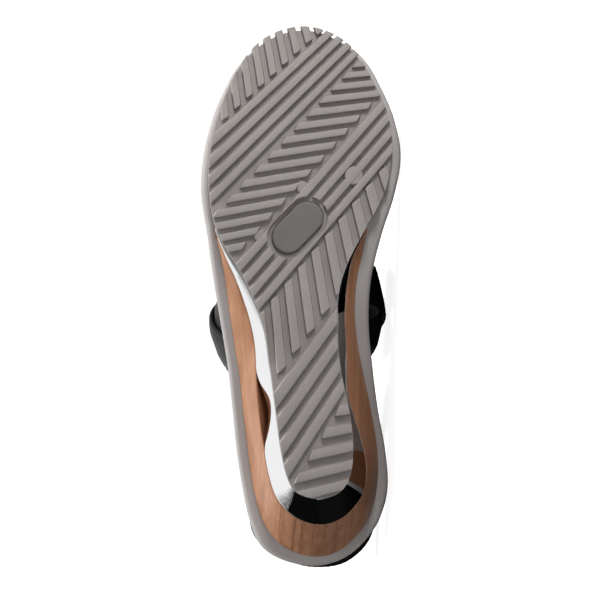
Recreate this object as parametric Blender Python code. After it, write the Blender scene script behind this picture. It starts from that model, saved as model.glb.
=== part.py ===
"""A wedge sandal for the right foot, lying on its medial side.

Every piece is drawn as it stands on the ground: +X to the toe, +Y to the medial side, +Z up, the ground at 0.
At the end the whole sandal is tipped onto its medial side, onto the three points that carry it there.
"""

import math
from collections import namedtuple

import bmesh
import bpy
import numpy as np
from mathutils import Matrix, Vector

# Driving dimensions, in metres.
foot_length = 0.248
ball_width = 0.090
heel_lift = 0.0376
outsole_thickness = 0.0050
rib_height = 0.0024
rib_slope = 0.0005
rib_setback = 0.0003
platform_thickness = 0.012
platform_edge = 0.0012
platform_draft = 0.0016
insole_thickness = 0.0030
insole_inset = 0.0078
insole_edge = 0.0008
toe_spring = 0.0060
plated_floor = 0.0025
plated_wall = 0.0030
scallop_depth = 0.0040
inlay_length = 0.0270
inlay_width = 0.0145
inlay_recess = 0.0006
inlay_sink = 0.0010
inlay_clearance = 0.0022
strap_thickness = 0.0024
strap_foot_inset = 0.0028
strap_foot_width = 0.0156
strap_width = 0.0330
instep_height = 0.0600
bulge_height = 0.0280
medial_bulge = 0.0105
lateral_bulge = 0.0065
heel_strap_width = 0.0220
heel_strap_thickness = 0.0024
heel_strap_height = 0.0420
elastic_thickness = 0.0016
joint_gap = 0.0003

# Shares of foot_length, from the toe.
spring_start = 0.24
rise_start = 0.27
rise_end = 0.93
wedge_front = 0.37
hollow_front = 0.58
scallop_start = 0.64
scallop_end = 0.79

# The plated wedge takes this share of the wedge's height, and the wood the rest.
plated_share = 0.46

# Over the instep, the share of the way that a strap stands up straight at each foot, how fast it swells to its
# full width, and how far the upper strap runs over the lower one as a share of its thickness.
foot_share = 0.13
swell_rate = 1.3
cross_rise = 0.85

# Kilograms per cubic metre, for the point over which the sandal balances.
DENSITY = {"rubber": 1200, "plastic": 1100, "wood": 600, "leather": 900, "elastic": 300}

# Where the outline of a layer ends, and its width along the way. `at` is a share of foot_length from the toe,
# and `lateral` and `medial` are shares of ball_width out from the shoe's centre line.
Outline = namedtuple("Outline", "toe_end toe_side heel_end heel_side rows")
Width = namedtuple("Width", "at lateral medial")

SOLE = Outline(0.000, 0.010, 0.862, 0.085, [
    Width(0.04, 0.245, 0.260),
    Width(0.10, 0.351, 0.359),
    Width(0.17, 0.424, 0.440),
    Width(0.24, 0.464, 0.453),
    Width(0.31, 0.464, 0.410),
    Width(0.38, 0.420, 0.307),
    Width(0.46, 0.293, 0.200),
    Width(0.54, 0.197, 0.180),
    Width(0.62, 0.162, 0.194),
    Width(0.70, 0.133, 0.239),
    Width(0.77, 0.107, 0.259),
    Width(0.82, 0.076, 0.243),
    Width(0.845, 0.042, 0.206),
])
SEAM = Outline(0.000, 0.010, 0.915, 0.110, [
    Width(0.31, 0.470, 0.420),
    Width(0.38, 0.424, 0.335),
    Width(0.42, 0.384, 0.272),
    Width(0.46, 0.333, 0.239),
    Width(0.52, 0.264, 0.226),
    Width(0.58, 0.222, 0.234),
    Width(0.64, 0.206, 0.243),
    Width(0.70, 0.194, 0.268),
    Width(0.76, 0.176, 0.320),
    Width(0.82, 0.160, 0.344),
    Width(0.86, 0.124, 0.322),
    Width(0.89, 0.062, 0.262),
])
WOOD = Outline(0.000, 0.010, 0.979, 0.108, [
    Width(0.31, 0.472, 0.425),
    Width(0.38, 0.428, 0.347),
    Width(0.42, 0.402, 0.307),
    Width(0.46, 0.381, 0.287),
    Width(0.52, 0.349, 0.279),
    Width(0.58, 0.323, 0.298),
    Width(0.64, 0.301, 0.334),
    Width(0.70, 0.281, 0.373),
    Width(0.76, 0.259, 0.406),
    Width(0.82, 0.236, 0.419),
    Width(0.88, 0.202, 0.398),
    Width(0.92, 0.161, 0.353),
    Width(0.95, 0.100, 0.286),
])
RIM = Outline(0.003, 0.010, 0.997, 0.095, [
    Width(0.04, 0.251, 0.290),
    Width(0.10, 0.360, 0.388),
    Width(0.17, 0.445, 0.470),
    Width(0.24, 0.492, 0.502),
    Width(0.31, 0.502, 0.469),
    Width(0.38, 0.472, 0.409),
    Width(0.46, 0.439, 0.361),
    Width(0.54, 0.400, 0.353),
    Width(0.62, 0.361, 0.378),
    Width(0.70, 0.334, 0.412),
    Width(0.78, 0.309, 0.456),
    Width(0.85, 0.278, 0.472),
    Width(0.91, 0.241, 0.431),
    Width(0.96, 0.178, 0.331),
])

# A field of ribs fills the four corners between its first and its last rib. Each corner is (at, side), with
# `side` a share of ball_width to the medial side. `ease` above 1 crowds the first ribs, and `face` is the share
# of the pitch that is rib.
Field = namedtuple("Field", "first_start first_end last_start last_end count ease face")

RIB_FIELDS = {
    "toe": Field((0.186, -0.413), (0.059, -0.450), (0.005, 0.128), (-0.045, 0.085), 9, 1.0, 0.54),
    "toe_band": Field((0.221, -0.526), (-0.070, 0.350), (0.358, -0.526), (0.034, 0.350), 4, 1.0, 0.56),
    "ball": Field((0.064, 0.285), (0.055, 0.566), (0.444, -0.691), (0.415, -0.323), 15, 1.14, 0.54),
    "ball_band": Field((0.456, -0.400), (0.070, 0.551), (0.604, -0.400), (0.198, 0.551), 4, 1.0, 0.58),
    "waist": Field((0.541, -0.239), (0.680, -0.212), (0.249, 0.440), (0.327, 0.516), 10, 1.0, 0.54),
    "waist_band": Field((0.676, -0.175), (0.469, 0.250), (0.890, -0.175), (0.652, 0.250), 4, 1.0, 0.62),
    "heel": Field((0.681, 0.211), (0.680, 0.310), (0.885, -0.129), (0.844, 0.310), 5, 1.0, 0.48),
}

# The inlay lies along the band of ribs across the ball.
inlay_at = 0.368
inlay_side = -0.022
inlay_turn = math.radians(44)

# Where the middle of each cross strap's foot stands, as shares of foot_length, and its layer, out from their middle.
Strap = namedtuple("Strap", "medial_foot lateral_foot layer")
CROSS_STRAPS = [Strap(0.470, 0.598, -0.5), Strap(0.571, 0.533, 0.5)]

# The heel strap's middle line, from its medial foot round the heel to its lateral foot. `lift` is a share of
# heel_strap_height above the platform.
Bend = namedtuple("Bend", "at side lift")
HEEL_LOOP = [
    Bend(0.698, 0.370, 0.00),
    Bend(0.699, 0.398, 0.22),
    Bend(0.716, 0.424, 0.48),
    Bend(0.762, 0.446, 0.75),
    Bend(0.835, 0.456, 0.94),
    Bend(0.905, 0.448, 1.00),
    Bend(0.962, 0.392, 1.02),
    Bend(1.000, 0.270, 1.03),
    Bend(1.012, 0.110, 1.03),
    Bend(1.000, -0.050, 1.03),
    Bend(0.960, -0.180, 1.02),
    Bend(0.905, -0.230, 1.00),
    Bend(0.835, -0.250, 0.94),
    Bend(0.762, -0.272, 0.75),
    Bend(0.716, -0.296, 0.48),
    Bend(0.699, -0.308, 0.22),
    Bend(0.698, -0.300, 0.00),
]
elastic_start = 0.60
elastic_end = 0.73

# The heel strap faces away from this place on the foot, less to the toe along its straight sides than at the back.
heel_middle = 0.80
straight_side = 0.05
round_back = 0.40

# How finely the curved pieces are divided.
LAYER_STEPS = 40
WEDGE_STEPS = 28
ARCH_STEPS = 30
STRAP_ACROSS = 4
LOOP_STEPS = 52
CAPSULE_STEPS = 8
FINE = 12
SPRING_CUTS = (1.0, 0.84, 0.68, 0.52, 0.36, 0.2)
RAMP_CUTS = 4


def smooth_curve(knots, values, where):
    """Read a smooth curve that runs through the values at the knots."""
    knots = np.asarray(knots, float)
    values = np.asarray(values, float)
    slopes = np.gradient(values, knots)
    left = np.clip(np.searchsorted(knots, where, side="right") - 1, 0, len(knots) - 2)
    span = knots[left + 1] - knots[left]
    t = (where - knots[left]) / span
    return (
        (2 * t**3 - 3 * t**2 + 1) * values[left]
        + (t**3 - 2 * t**2 + t) * span * slopes[left]
        + (3 * t**2 - 2 * t**3) * values[left + 1]
        + (t**3 - t**2) * span * slopes[left + 1]
    )


def ease_in_out(t):
    """0 to 1 with a level start and end."""
    t = np.clip(t, 0, 1)
    return t * t * (3 - 2 * t)


def share_to_x(at):
    return foot_length * (0.5 - at)


def x_to_share(x):
    return 0.5 - x / foot_length


def turn_along(outline, at):
    """An angle along the outline, 0 at the toe and pi at the heel, in which a round end is a straight line."""
    t = (at - outline.toe_end) / (outline.heel_end - outline.toe_end)
    return np.arccos(np.clip(1 - 2 * t, -1, 1))


def outline_at(outline, turn):
    """The share along the foot, and the lateral and medial edge, at the angles given."""
    knots = [turn_along(outline, row.at) for row in outline.rows]
    middles = [(row.medial - row.lateral) / 2 for row in outline.rows]
    halves = [(row.medial + row.lateral) / 2 for row in outline.rows]
    if outline.rows[0].at < wedge_front / 2:
        knots = [0.0] + knots
        middles = [outline.toe_side] + middles
        halves = [0.0] + halves
    knots = knots + [math.pi]
    middles = middles + [outline.heel_side]
    halves = halves + [0.0]
    middle = smooth_curve(knots, middles, turn) * ball_width
    half = smooth_curve(knots, halves, turn) * ball_width
    length = outline.heel_end - outline.toe_end
    return outline.toe_end + length * (1 - np.cos(turn)) / 2, middle - half, middle + half


def edge_of(outline, at, side):
    """How far the outline's edge is from the centre line at a share of the foot; side is lateral or medial."""
    _, lateral, medial = outline_at(outline, turn_along(outline, np.asarray(at, float)))
    return lateral if side == "lateral" else medial


def rise(x):
    """How far the foot has risen above the ball on its way to the heel."""
    return heel_lift * ease_in_out((x_to_share(x) - rise_start) / (rise_end - rise_start))


def spring(x):
    """How far the toe curls up off the ground."""
    return toe_spring * np.clip((spring_start - x_to_share(x)) / spring_start, 0, None) ** 2


def wedge_height(x):
    """The wedge's own height, without the gaps between its layers."""
    return rise(x) - 3 * joint_gap


def plated_top(x):
    return outsole_thickness + joint_gap + plated_share * wedge_height(x)


def wood_bottom(x):
    return plated_top(x) + joint_gap


def wood_top(x):
    return outsole_thickness + rise(x)


def platform_bottom(x):
    return outsole_thickness + spring(x) + rise(x) + joint_gap


def platform_top(x):
    return platform_bottom(x) + platform_thickness


def half_rings(outline, start, count):
    """Lateral and medial edges from the start share to the heel, each an array of (x, y)."""
    first = turn_along(outline, start)
    turn = first + (math.pi - first) * np.linspace(0, 1, count + 1)
    at, lateral, medial = outline_at(outline, turn)
    x = share_to_x(at)
    return np.column_stack([x, lateral]), np.column_stack([x, medial])


def closed_ring(outline, start, count):
    """The outline as one loop: lateral side to the heel, and back along the medial side."""
    lateral, medial = half_rings(outline, start, count)
    has_toe = start <= outline.toe_end
    back = medial[1:-1][::-1] if has_toe else medial[:-1][::-1]
    return np.vstack([lateral, back])


def inset(ring, distance):
    """Move a loop inwards by a distance, or outwards where it is negative."""
    along = np.roll(ring, -1, axis=0) - np.roll(ring, 1, axis=0)
    along /= np.linalg.norm(along, axis=1)[:, None]
    inwards = np.column_stack([along[:, 1], -along[:, 0]])
    return ring + inwards * distance


def lifted(ring, height):
    """Give a flat loop its height, where height is a number or a function of x."""
    z = height(ring[:, 0]) if callable(height) else np.full(len(ring), height)
    return np.column_stack([ring, z])


def material(name, colour, roughness, metallic=0.0):
    made = bpy.data.materials.new(name)
    made.use_nodes = True
    shader = made.node_tree.nodes["Principled BSDF"]
    shader.inputs["Base Color"].default_value = (*colour, 1.0)
    shader.inputs["Roughness"].default_value = roughness
    shader.inputs["Metallic"].default_value = metallic
    made.diffuse_color = (*colour, 1.0)
    return made


def new_object(name, points, faces, finish=None):
    """A mesh object with its faces turned outwards."""
    mesh = bpy.data.meshes.new(name)
    mesh.from_pydata([tuple(p) for p in points], [], faces)
    shape = bmesh.new()
    shape.from_mesh(mesh)
    bmesh.ops.remove_doubles(shape, verts=shape.verts, dist=1e-6)
    bmesh.ops.recalc_face_normals(shape, faces=shape.faces)
    shape.to_mesh(mesh)
    shape.free()
    if finish:
        mesh.materials.append(finish)
    made = bpy.data.objects.new(name, mesh)
    bpy.context.collection.objects.link(made)
    return made


def cap_faces(first, size, has_toe, flip):
    """Close a loop with strips from its lateral to its medial side."""
    half = size // 2
    faces = []
    if has_toe:
        pairs = [(0, 0)] + [(i, size - i) for i in range(1, half)] + [(half, half)]
    else:
        pairs = [(i, size - 1 - i) for i in range(half)] + [(half, half)]
    for (a, b), (c, d) in zip(pairs, pairs[1:]):
        corners = [a, c, d, b]
        loop = [first + corner for i, corner in enumerate(corners) if corner not in corners[:i]]
        faces.append(loop[::-1] if flip else loop)
    return faces


def layered_solid(name, rings, has_toe, finish=None):
    """A closed solid through loops of equal size, from its underside to its top."""
    size = len(rings[0])
    points = np.vstack(rings)
    faces = cap_faces(0, size, has_toe, True)
    faces += cap_faces((len(rings) - 1) * size, size, has_toe, False)
    for level in range(len(rings) - 1):
        low = level * size
        high = low + size
        for i in range(size):
            j = (i + 1) % size
            faces.append([low + i, low + j, high + j, high + i])
    return new_object(name, points, faces, finish)


def sheet_solid(name, outside, inside, finish=None):
    """A closed wall between two grids of points, one on each side of it."""
    rows, columns = outside.shape[:2]
    count = rows * columns
    points = np.vstack([outside.reshape(-1, 3), inside.reshape(-1, 3)])
    index = np.arange(count).reshape(rows, columns)
    faces = []
    for i in range(rows - 1):
        for j in range(columns - 1):
            face = [index[i, j], index[i + 1, j], index[i + 1, j + 1], index[i, j + 1]]
            faces.append([int(v) for v in face])
            faces.append([int(v) + count for v in face[::-1]])
    border = list(index[:, 0]) + list(index[-1, 1:]) + list(index[-2::-1, -1]) + list(index[0, -2:0:-1])
    for a, b in zip(border, border[1:] + border[:1]):
        faces.append([int(a), int(a) + count, int(b) + count, int(b)])
    return new_object(name, points, faces, finish)


def prism(name, polygon, low, high, finish=None):
    """A straight-sided solid on a polygon."""
    count = len(polygon)
    points = np.vstack([lifted(polygon, low), lifted(polygon, high)])
    faces = [list(range(count))[::-1], list(range(count, 2 * count))]
    faces += [[i, (i + 1) % count, count + (i + 1) % count, count + i] for i in range(count)]
    return new_object(name, points, faces, finish)


def boolean(target, tool, operation, own_overlaps=False):
    """Add, cut or intersect with a tool, and remove the tool."""
    modifier = target.modifiers.new("boolean", "BOOLEAN")
    modifier.operation = operation
    modifier.solver = "EXACT"
    modifier.use_self = own_overlaps
    modifier.object = tool
    graph = bpy.context.evaluated_depsgraph_get()
    mesh = bpy.data.meshes.new_from_object(target.evaluated_get(graph))
    target.modifiers.clear()
    target.data = mesh
    bpy.data.objects.remove(tool)


def field_corner(field, along, rib):
    """A point of a rib field: along runs 0 to 1 from a rib's start to its end, and rib is its place in the count."""
    place = max((rib - 0.5) / field.count, 0.0) ** field.ease
    first = np.array(field.first_start) * (1 - along) + np.array(field.first_end) * along
    last = np.array(field.last_start) * (1 - along) + np.array(field.last_end) * along
    at, side = first * (1 - place) + last * place
    return np.array([share_to_x(at), side * ball_width])


def rib_face(field, rib):
    """The four corners of a rib's tread face."""
    half = field.face / 2
    corners = [(0, rib - half), (1, rib - half), (1, rib + half), (0, rib + half)]
    return np.array([field_corner(field, along, place) for along, place in corners])


def widened(polygon, distance):
    """A convex polygon with each side moved out by a distance."""
    middle = polygon.mean(axis=0)
    sides = []
    for start, end in zip(polygon, np.roll(polygon, -1, axis=0)):
        out = np.array([end[1] - start[1], start[0] - end[0]])
        out /= np.linalg.norm(out)
        if out @ (start - middle) < 0:
            out = -out
        sides.append((out, out @ start + distance))
    corners = []
    for (n1, d1), (n2, d2) in zip(sides[-1:] + sides[:-1], sides):
        corners.append(np.linalg.solve(np.array([n1, n2]), np.array([d1, d2])))
    return np.array(corners)


def rib_solids(name):
    """All the ribs as one mesh of separate tapered bars, from the ground up into the sole."""
    points = []
    faces = []
    root = rib_height + (outsole_thickness - rib_height) / 2
    run = rib_slope * root / rib_height
    for field in RIB_FIELDS.values():
        for rib in range(1, field.count + 1):
            face = rib_face(field, rib)
            first = len(points)
            points += [(*p, 0.0) for p in face]
            points += [(*p, root) for p in widened(face, run)]
            faces.append([first + i for i in (0, 1, 2, 3)])
            faces.append([first + i for i in (7, 6, 5, 4)])
            for i in range(4):
                j = (i + 1) % 4
                faces.append([first + i, first + 4 + i, first + 4 + j, first + j])
    return new_object(name, points, faces)


def capsule(length, width):
    """A round-ended bar about the inlay's place on the sole."""
    straight = (length - width) / 2
    angles = np.linspace(-math.pi / 2, math.pi / 2, CAPSULE_STEPS)
    end = np.column_stack([straight + width / 2 * np.cos(angles), width / 2 * np.sin(angles)])
    loop = np.vstack([end, -end])
    turn = np.array([[math.cos(inlay_turn), math.sin(inlay_turn)], [-math.sin(inlay_turn), math.cos(inlay_turn)]])
    return loop @ turn + np.array([share_to_x(inlay_at), inlay_side * ball_width])


def bend_outsole(outsole):
    """Cut the flat outsole across at stations, then lift the toe and the ramp under the platform."""
    mesh = outsole.data
    shape = bmesh.new()
    shape.from_mesh(mesh)
    sprung = [spring_start * share for share in SPRING_CUTS]
    ramp = np.linspace(rise_start, wedge_front, RAMP_CUTS + 1)[:-1]
    step = [share_to_x(wedge_front) + 2 * joint_gap, share_to_x(wedge_front) + joint_gap]
    stations = [share_to_x(at) for at in [*sprung, *ramp]] + step
    for x in stations:
        everything = shape.verts[:] + shape.edges[:] + shape.faces[:]
        bmesh.ops.bisect_plane(shape, geom=everything, plane_co=(x, 0, 0), plane_no=(1, 0, 0), dist=1e-7)
    front = sum(step) / 2
    for vert in shape.verts:
        x = vert.co.x
        on_top = vert.co.z > outsole_thickness - 1e-5
        vert.co.z += float(spring(x))
        if on_top and x > front:
            vert.co.z += float(rise(x))
    shape.to_mesh(mesh)
    shape.free()


def make_outsole(rubber):
    """The ribbed rubber sheet under the whole foot."""
    ring = closed_ring(SOLE, SOLE.toe_end, LAYER_STEPS)
    rings = [lifted(ring, rib_height), lifted(ring, outsole_thickness)]
    outsole = layered_solid("outsole", rings, True, rubber)
    ribs = rib_solids("ribs")
    trim = prism("trim", inset(ring, rib_setback), -rib_height, outsole_thickness)
    boolean(ribs, trim, "INTERSECT", own_overlaps=True)
    clearing = capsule(inlay_length + 2 * inlay_clearance, inlay_width + 2 * inlay_clearance)
    around = prism("around_inlay", clearing, -rib_height, outsole_thickness)
    boolean(ribs, around, "DIFFERENCE")
    boolean(outsole, ribs, "UNION")
    seat = capsule(inlay_length + 2 * joint_gap, inlay_width + 2 * joint_gap)
    pocket = prism("pocket", seat, -rib_height, rib_height + inlay_sink + joint_gap)
    boolean(outsole, pocket, "DIFFERENCE")
    bend_outsole(outsole)
    return outsole


def make_inlay(rubber):
    """A plain round-ended pad let into the sole under the ball of the foot."""
    loop = capsule(inlay_length, inlay_width)
    face = capsule(inlay_length - 2 * rib_slope, inlay_width - 2 * rib_slope)
    count = len(loop)
    levels = [(face, inlay_recess), (loop, inlay_recess + rib_slope), (loop, rib_height + inlay_sink)]
    points = np.vstack([lifted(polygon, z) for polygon, z in levels])
    faces = [list(range(count))[::-1], list(range(2 * count, 3 * count))]
    for low in (0, count):
        for i in range(count):
            j = (i + 1) % count
            faces.append([low + i, low + j, low + count + j, low + count + i])
    return new_object("sole_inlay", points, faces, rubber)


def scalloped(ring, depth):
    """Scoop the lateral side of a loop inwards between the two ends of the scallop."""
    at = x_to_share(ring[:, 0])
    along = np.clip((at - scallop_start) / (scallop_end - scallop_start), 0, 1)
    lateral = np.arange(len(ring)) <= len(ring) // 2
    moved = ring.copy()
    moved[:, 1] += depth * np.sin(math.pi * along) ** 2 * lateral
    return moved


def make_plated_wedge(plated):
    """The mirror-plated moulding between the outsole and the wood, open on top behind its solid front."""
    bottom = closed_ring(SOLE, wedge_front, WEDGE_STEPS)
    top = scalloped(closed_ring(SEAM, wedge_front, WEDGE_STEPS), scallop_depth)
    rings = [lifted(bottom, outsole_thickness + joint_gap), lifted(top, plated_top)]
    wedge = layered_solid("plated_wedge", rings, False, plated)
    floor = outsole_thickness + joint_gap + plated_floor
    hollow_bottom = inset(closed_ring(SOLE, hollow_front, WEDGE_STEPS), plated_wall)
    hollow_top = inset(scalloped(closed_ring(SEAM, hollow_front, WEDGE_STEPS), scallop_depth), plated_wall)
    above = outsole_thickness + heel_lift
    spread = (above - outsole_thickness) / (plated_share * heel_lift)
    hollow_above = hollow_bottom + (hollow_top - hollow_bottom) * spread
    hollow = layered_solid("hollow", [lifted(hollow_bottom, floor), lifted(hollow_above, above)], False)
    boolean(wedge, hollow, "DIFFERENCE")
    return wedge


def make_wood_wedge(wood):
    """The beech wedge, flaring from the plated wedge out to the platform."""
    bottom = closed_ring(SEAM, wedge_front, WEDGE_STEPS)
    top = closed_ring(WOOD, wedge_front, WEDGE_STEPS)
    rings = [lifted(bottom, wood_bottom), lifted(top, wood_top)]
    return layered_solid("wood_wedge", rings, False, wood)


def make_platform(foam):
    """The full-length layer whose rounded rim is the widest part of the sole."""
    ring = closed_ring(RIM, RIM.toe_end, LAYER_STEPS)
    leaned = inset(ring, platform_draft)
    rings = [
        lifted(inset(ring, platform_edge), platform_bottom),
        lifted(ring, lambda x: platform_bottom(x) + platform_edge),
        lifted(leaned, lambda x: platform_top(x) - platform_edge),
        lifted(inset(leaned, platform_edge), platform_top),
    ]
    return layered_solid("platform", rings, True, foam)


def make_insole(leather):
    """The footbed cover, set in from the rim to leave room for the straps' feet."""
    ring = inset(closed_ring(RIM, RIM.toe_end, LAYER_STEPS), insole_inset)
    rings = [
        lifted(ring, lambda x: platform_top(x) + joint_gap),
        lifted(ring, lambda x: platform_top(x) + joint_gap + insole_thickness - insole_edge),
        lifted(inset(ring, insole_edge), lambda x: platform_top(x) + joint_gap + insole_thickness),
    ]
    return layered_solid("insole", rings, True, leather)


def instep(at, along):
    """A point of the instep's form: along runs 0 to 1 from the medial side of the platform over to the lateral."""
    x = share_to_x(at)
    medial_foot = edge_of(RIM, at, "medial") - platform_draft - strap_foot_inset
    lateral_foot = edge_of(RIM, at, "lateral") + platform_draft + strap_foot_inset
    medial = medial_foot + medial_bulge
    lateral = lateral_foot - lateral_bulge
    low_medial = np.clip(along / foot_share, 0, 1)
    low_lateral = np.clip((1 - along) / foot_share, 0, 1)
    over = math.pi * np.clip((along - foot_share) / (1 - 2 * foot_share), 0, 1)
    y = (medial + lateral) / 2 + (medial - lateral) / 2 * np.cos(over)
    y = y - medial_bulge * (1 - low_medial) ** 2 + lateral_bulge * (1 - low_lateral) ** 2
    z = bulge_height * np.minimum(low_medial, low_lateral)
    z = z + (instep_height - bulge_height) * np.sin(over)
    return np.stack([x, y, z + platform_top(x) + joint_gap], axis=-1)


def surface_normal(form, u, v, step=1e-3):
    """The outward normal of a form of two parameters."""
    du = form(u + step, v) - form(u - step, v)
    dv = form(u, np.clip(v + step, 0, 1)) - form(u, np.clip(v - step, 0, 1))
    normal = np.cross(dv, du)
    return normal / np.linalg.norm(normal, axis=-1)[..., None]


def make_cross_strap(strap, leather):
    """One strap over the instep, wider on top than at its feet, in its own layer of the two."""
    along = np.linspace(0, 1, ARCH_STEPS + 1)
    middle = strap.medial_foot + (strap.lateral_foot - strap.medial_foot) * along
    swell = ease_in_out(np.sin(math.pi * along) * swell_rate)
    half = (strap_foot_width + (strap_width - strap_foot_width) * swell) / 2 / foot_length
    across = np.linspace(-1, 1, STRAP_ACROSS + 1)
    at = middle[:, None] + half[:, None] * across[None, :]
    way = np.repeat(along[:, None], len(across), axis=1)
    points = instep(at, way)
    normal = surface_normal(instep, at, way)
    centre = points + normal * strap.layer * cross_rise * strap_thickness
    outside = centre + normal * strap_thickness / 2
    inside = centre - normal * strap_thickness / 2
    for row in (0, -1):
        for wall in (outside, inside):
            wall[row, :, 2] = platform_top(wall[row, :, 0]) + joint_gap
    return sheet_solid("cross_straps", outside, inside, leather)


def make_cross_straps(leather):
    """The upper: two straps joined where they cross over the instep."""
    under, over = [make_cross_strap(strap, leather) for strap in CROSS_STRAPS]
    boolean(under, over, "UNION")
    under.name = "cross_straps"
    return under


def heel_loop():
    """The heel strap's middle line, evenly spaced, with its direction and outward side."""
    rows = np.array(HEEL_LOOP)
    x = share_to_x(rows[:, 0])
    y = rows[:, 1] * ball_width
    y[0] = edge_of(RIM, rows[0, 0], "medial") - platform_draft - strap_foot_inset
    y[-1] = edge_of(RIM, rows[-1, 0], "lateral") + platform_draft + strap_foot_inset
    points = np.column_stack([x, y, platform_top(x) + joint_gap + rows[:, 2] * heel_strap_height])
    lengths = np.concatenate([[0], np.cumsum(np.linalg.norm(np.diff(points, axis=0), axis=1))])
    where = np.linspace(0, lengths[-1], FINE * LOOP_STEPS + 1)
    fine = np.column_stack([smooth_curve(lengths, points[:, i], where) for i in range(3)])
    steps = np.concatenate([[0], np.cumsum(np.linalg.norm(np.diff(fine, axis=0), axis=1))])
    return fine, steps / steps[-1]


def heel_band(name, start, end, thickness, finish):
    """A stretch of the heel strap between two shares of its length."""
    fine, share = heel_loop()
    count = max(3, round((end - start) * LOOP_STEPS))
    where = np.linspace(start, end, count + 1)
    centre = np.column_stack([np.interp(where, share, fine[:, i]) for i in range(3)])
    slope = np.gradient(fine, share, axis=0)
    along = np.column_stack([np.interp(where, share, slope[:, i]) for i in range(3)])
    along /= np.linalg.norm(along, axis=1)[:, None]
    middle = np.array([share_to_x(heel_middle), RIM.heel_side * ball_width, 0.0])
    out = (centre - middle) * np.array([1.0, 1.0, 0.0])
    out[:, 0] *= np.where(out[:, 0] > 0, straight_side, round_back)
    out -= along * np.sum(out * along, axis=1)[:, None]
    out /= np.linalg.norm(out, axis=1)[:, None]
    up = np.cross(along, out)
    across = np.linspace(-0.5, 0.5, STRAP_ACROSS + 1) * heel_strap_width
    grid = centre[:, None, :] + up[:, None, :] * across[None, :, None]
    outside = grid + out[:, None, :] * thickness / 2
    inside = grid - out[:, None, :] * thickness / 2
    for row, at_foot in ((0, start == 0), (-1, end == 1)):
        for wall in (outside, inside):
            if at_foot:
                wall[row, :, 2] = platform_top(wall[row, :, 0]) + joint_gap
    return sheet_solid(name, outside, inside, finish)


def make_heel_straps(leather, elastic):
    """The heel strap, its stretch of elastic at the lateral rear, and its short lateral end."""
    fine, _ = heel_loop()
    gap = joint_gap / np.linalg.norm(np.diff(fine, axis=0), axis=1).sum()
    strap = heel_band("heel_strap", 0, elastic_start, heel_strap_thickness, leather)
    gore = heel_band("elastic_gore", elastic_start + gap, elastic_end, elastic_thickness, elastic)
    tab = heel_band("heel_strap_tab", elastic_end + gap, 1, heel_strap_thickness, leather)
    return strap, gore, tab


def shape_facts(made):
    """A piece's corners, volume and middle of volume."""
    shape = bmesh.new()
    shape.from_mesh(made.data)
    bmesh.ops.triangulate(shape, faces=shape.faces)
    corners = np.array([v.co for v in shape.verts])
    triangles = np.array([[v.co for v in face.verts] for face in shape.faces])
    shape.free()
    a, b, c = triangles[:, 0], triangles[:, 1], triangles[:, 2]
    volumes = np.einsum("ij,ij->i", a, np.cross(b, c)) / 6
    middle = ((a + b + c) / 4 * volumes[:, None]).sum(axis=0) / volumes.sum()
    return corners, volumes.sum(), middle


def resting_turn(corners, balance):
    """The turn that lays the sandal on the medial face of its hull that is under its balance point."""
    hull = bmesh.new()
    for corner in corners:
        hull.verts.new(corner)
    bmesh.ops.convex_hull(hull, input=hull.verts)
    best = Vector((0, 0, 0))
    for face in hull.faces:
        normal = face.normal.normalized()
        drop = normal.dot(face.verts[0].co - balance)
        under = balance + normal * drop
        points = [v.co for v in face.verts]
        inside = all(
            normal.dot((b - a).cross(under - a)) >= 0
            for a, b in zip(points, points[1:] + points[:1])
        )
        if inside and normal.y > best.y:
            best = normal.copy()
    hull.free()
    return best.rotation_difference(Vector((0, 0, -1)))


def lay_down(pieces):
    """Tip the sandal onto its medial side and put the middle of its footprint at the origin."""
    facts = [(shape_facts(made), density) for made, density in pieces]
    corners = np.vstack([f[0] for f, _ in facts])
    weights = np.array([f[1] * density for f, density in facts])
    balance = (np.array([f[2] for f, _ in facts]) * weights[:, None]).sum(axis=0) / weights.sum()
    turn = resting_turn([Vector(c) for c in corners], Vector(balance)).to_matrix()
    toe = turn @ Vector((1, 0, 0))
    heading = Matrix.Rotation(-math.atan2(toe.y, toe.x), 3, "Z")
    turn = heading @ turn
    laid = corners @ np.array(turn).T
    low = laid.min(axis=0)
    high = laid.max(axis=0)
    stand = bpy.data.objects.new("sandal", None)
    bpy.context.collection.objects.link(stand)
    stand.rotation_mode = "QUATERNION"
    stand.rotation_quaternion = turn.to_quaternion()
    stand.location = (-(low[0] + high[0]) / 2, -(low[1] + high[1]) / 2, -low[2])
    for made, _ in pieces:
        made.parent = stand


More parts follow.
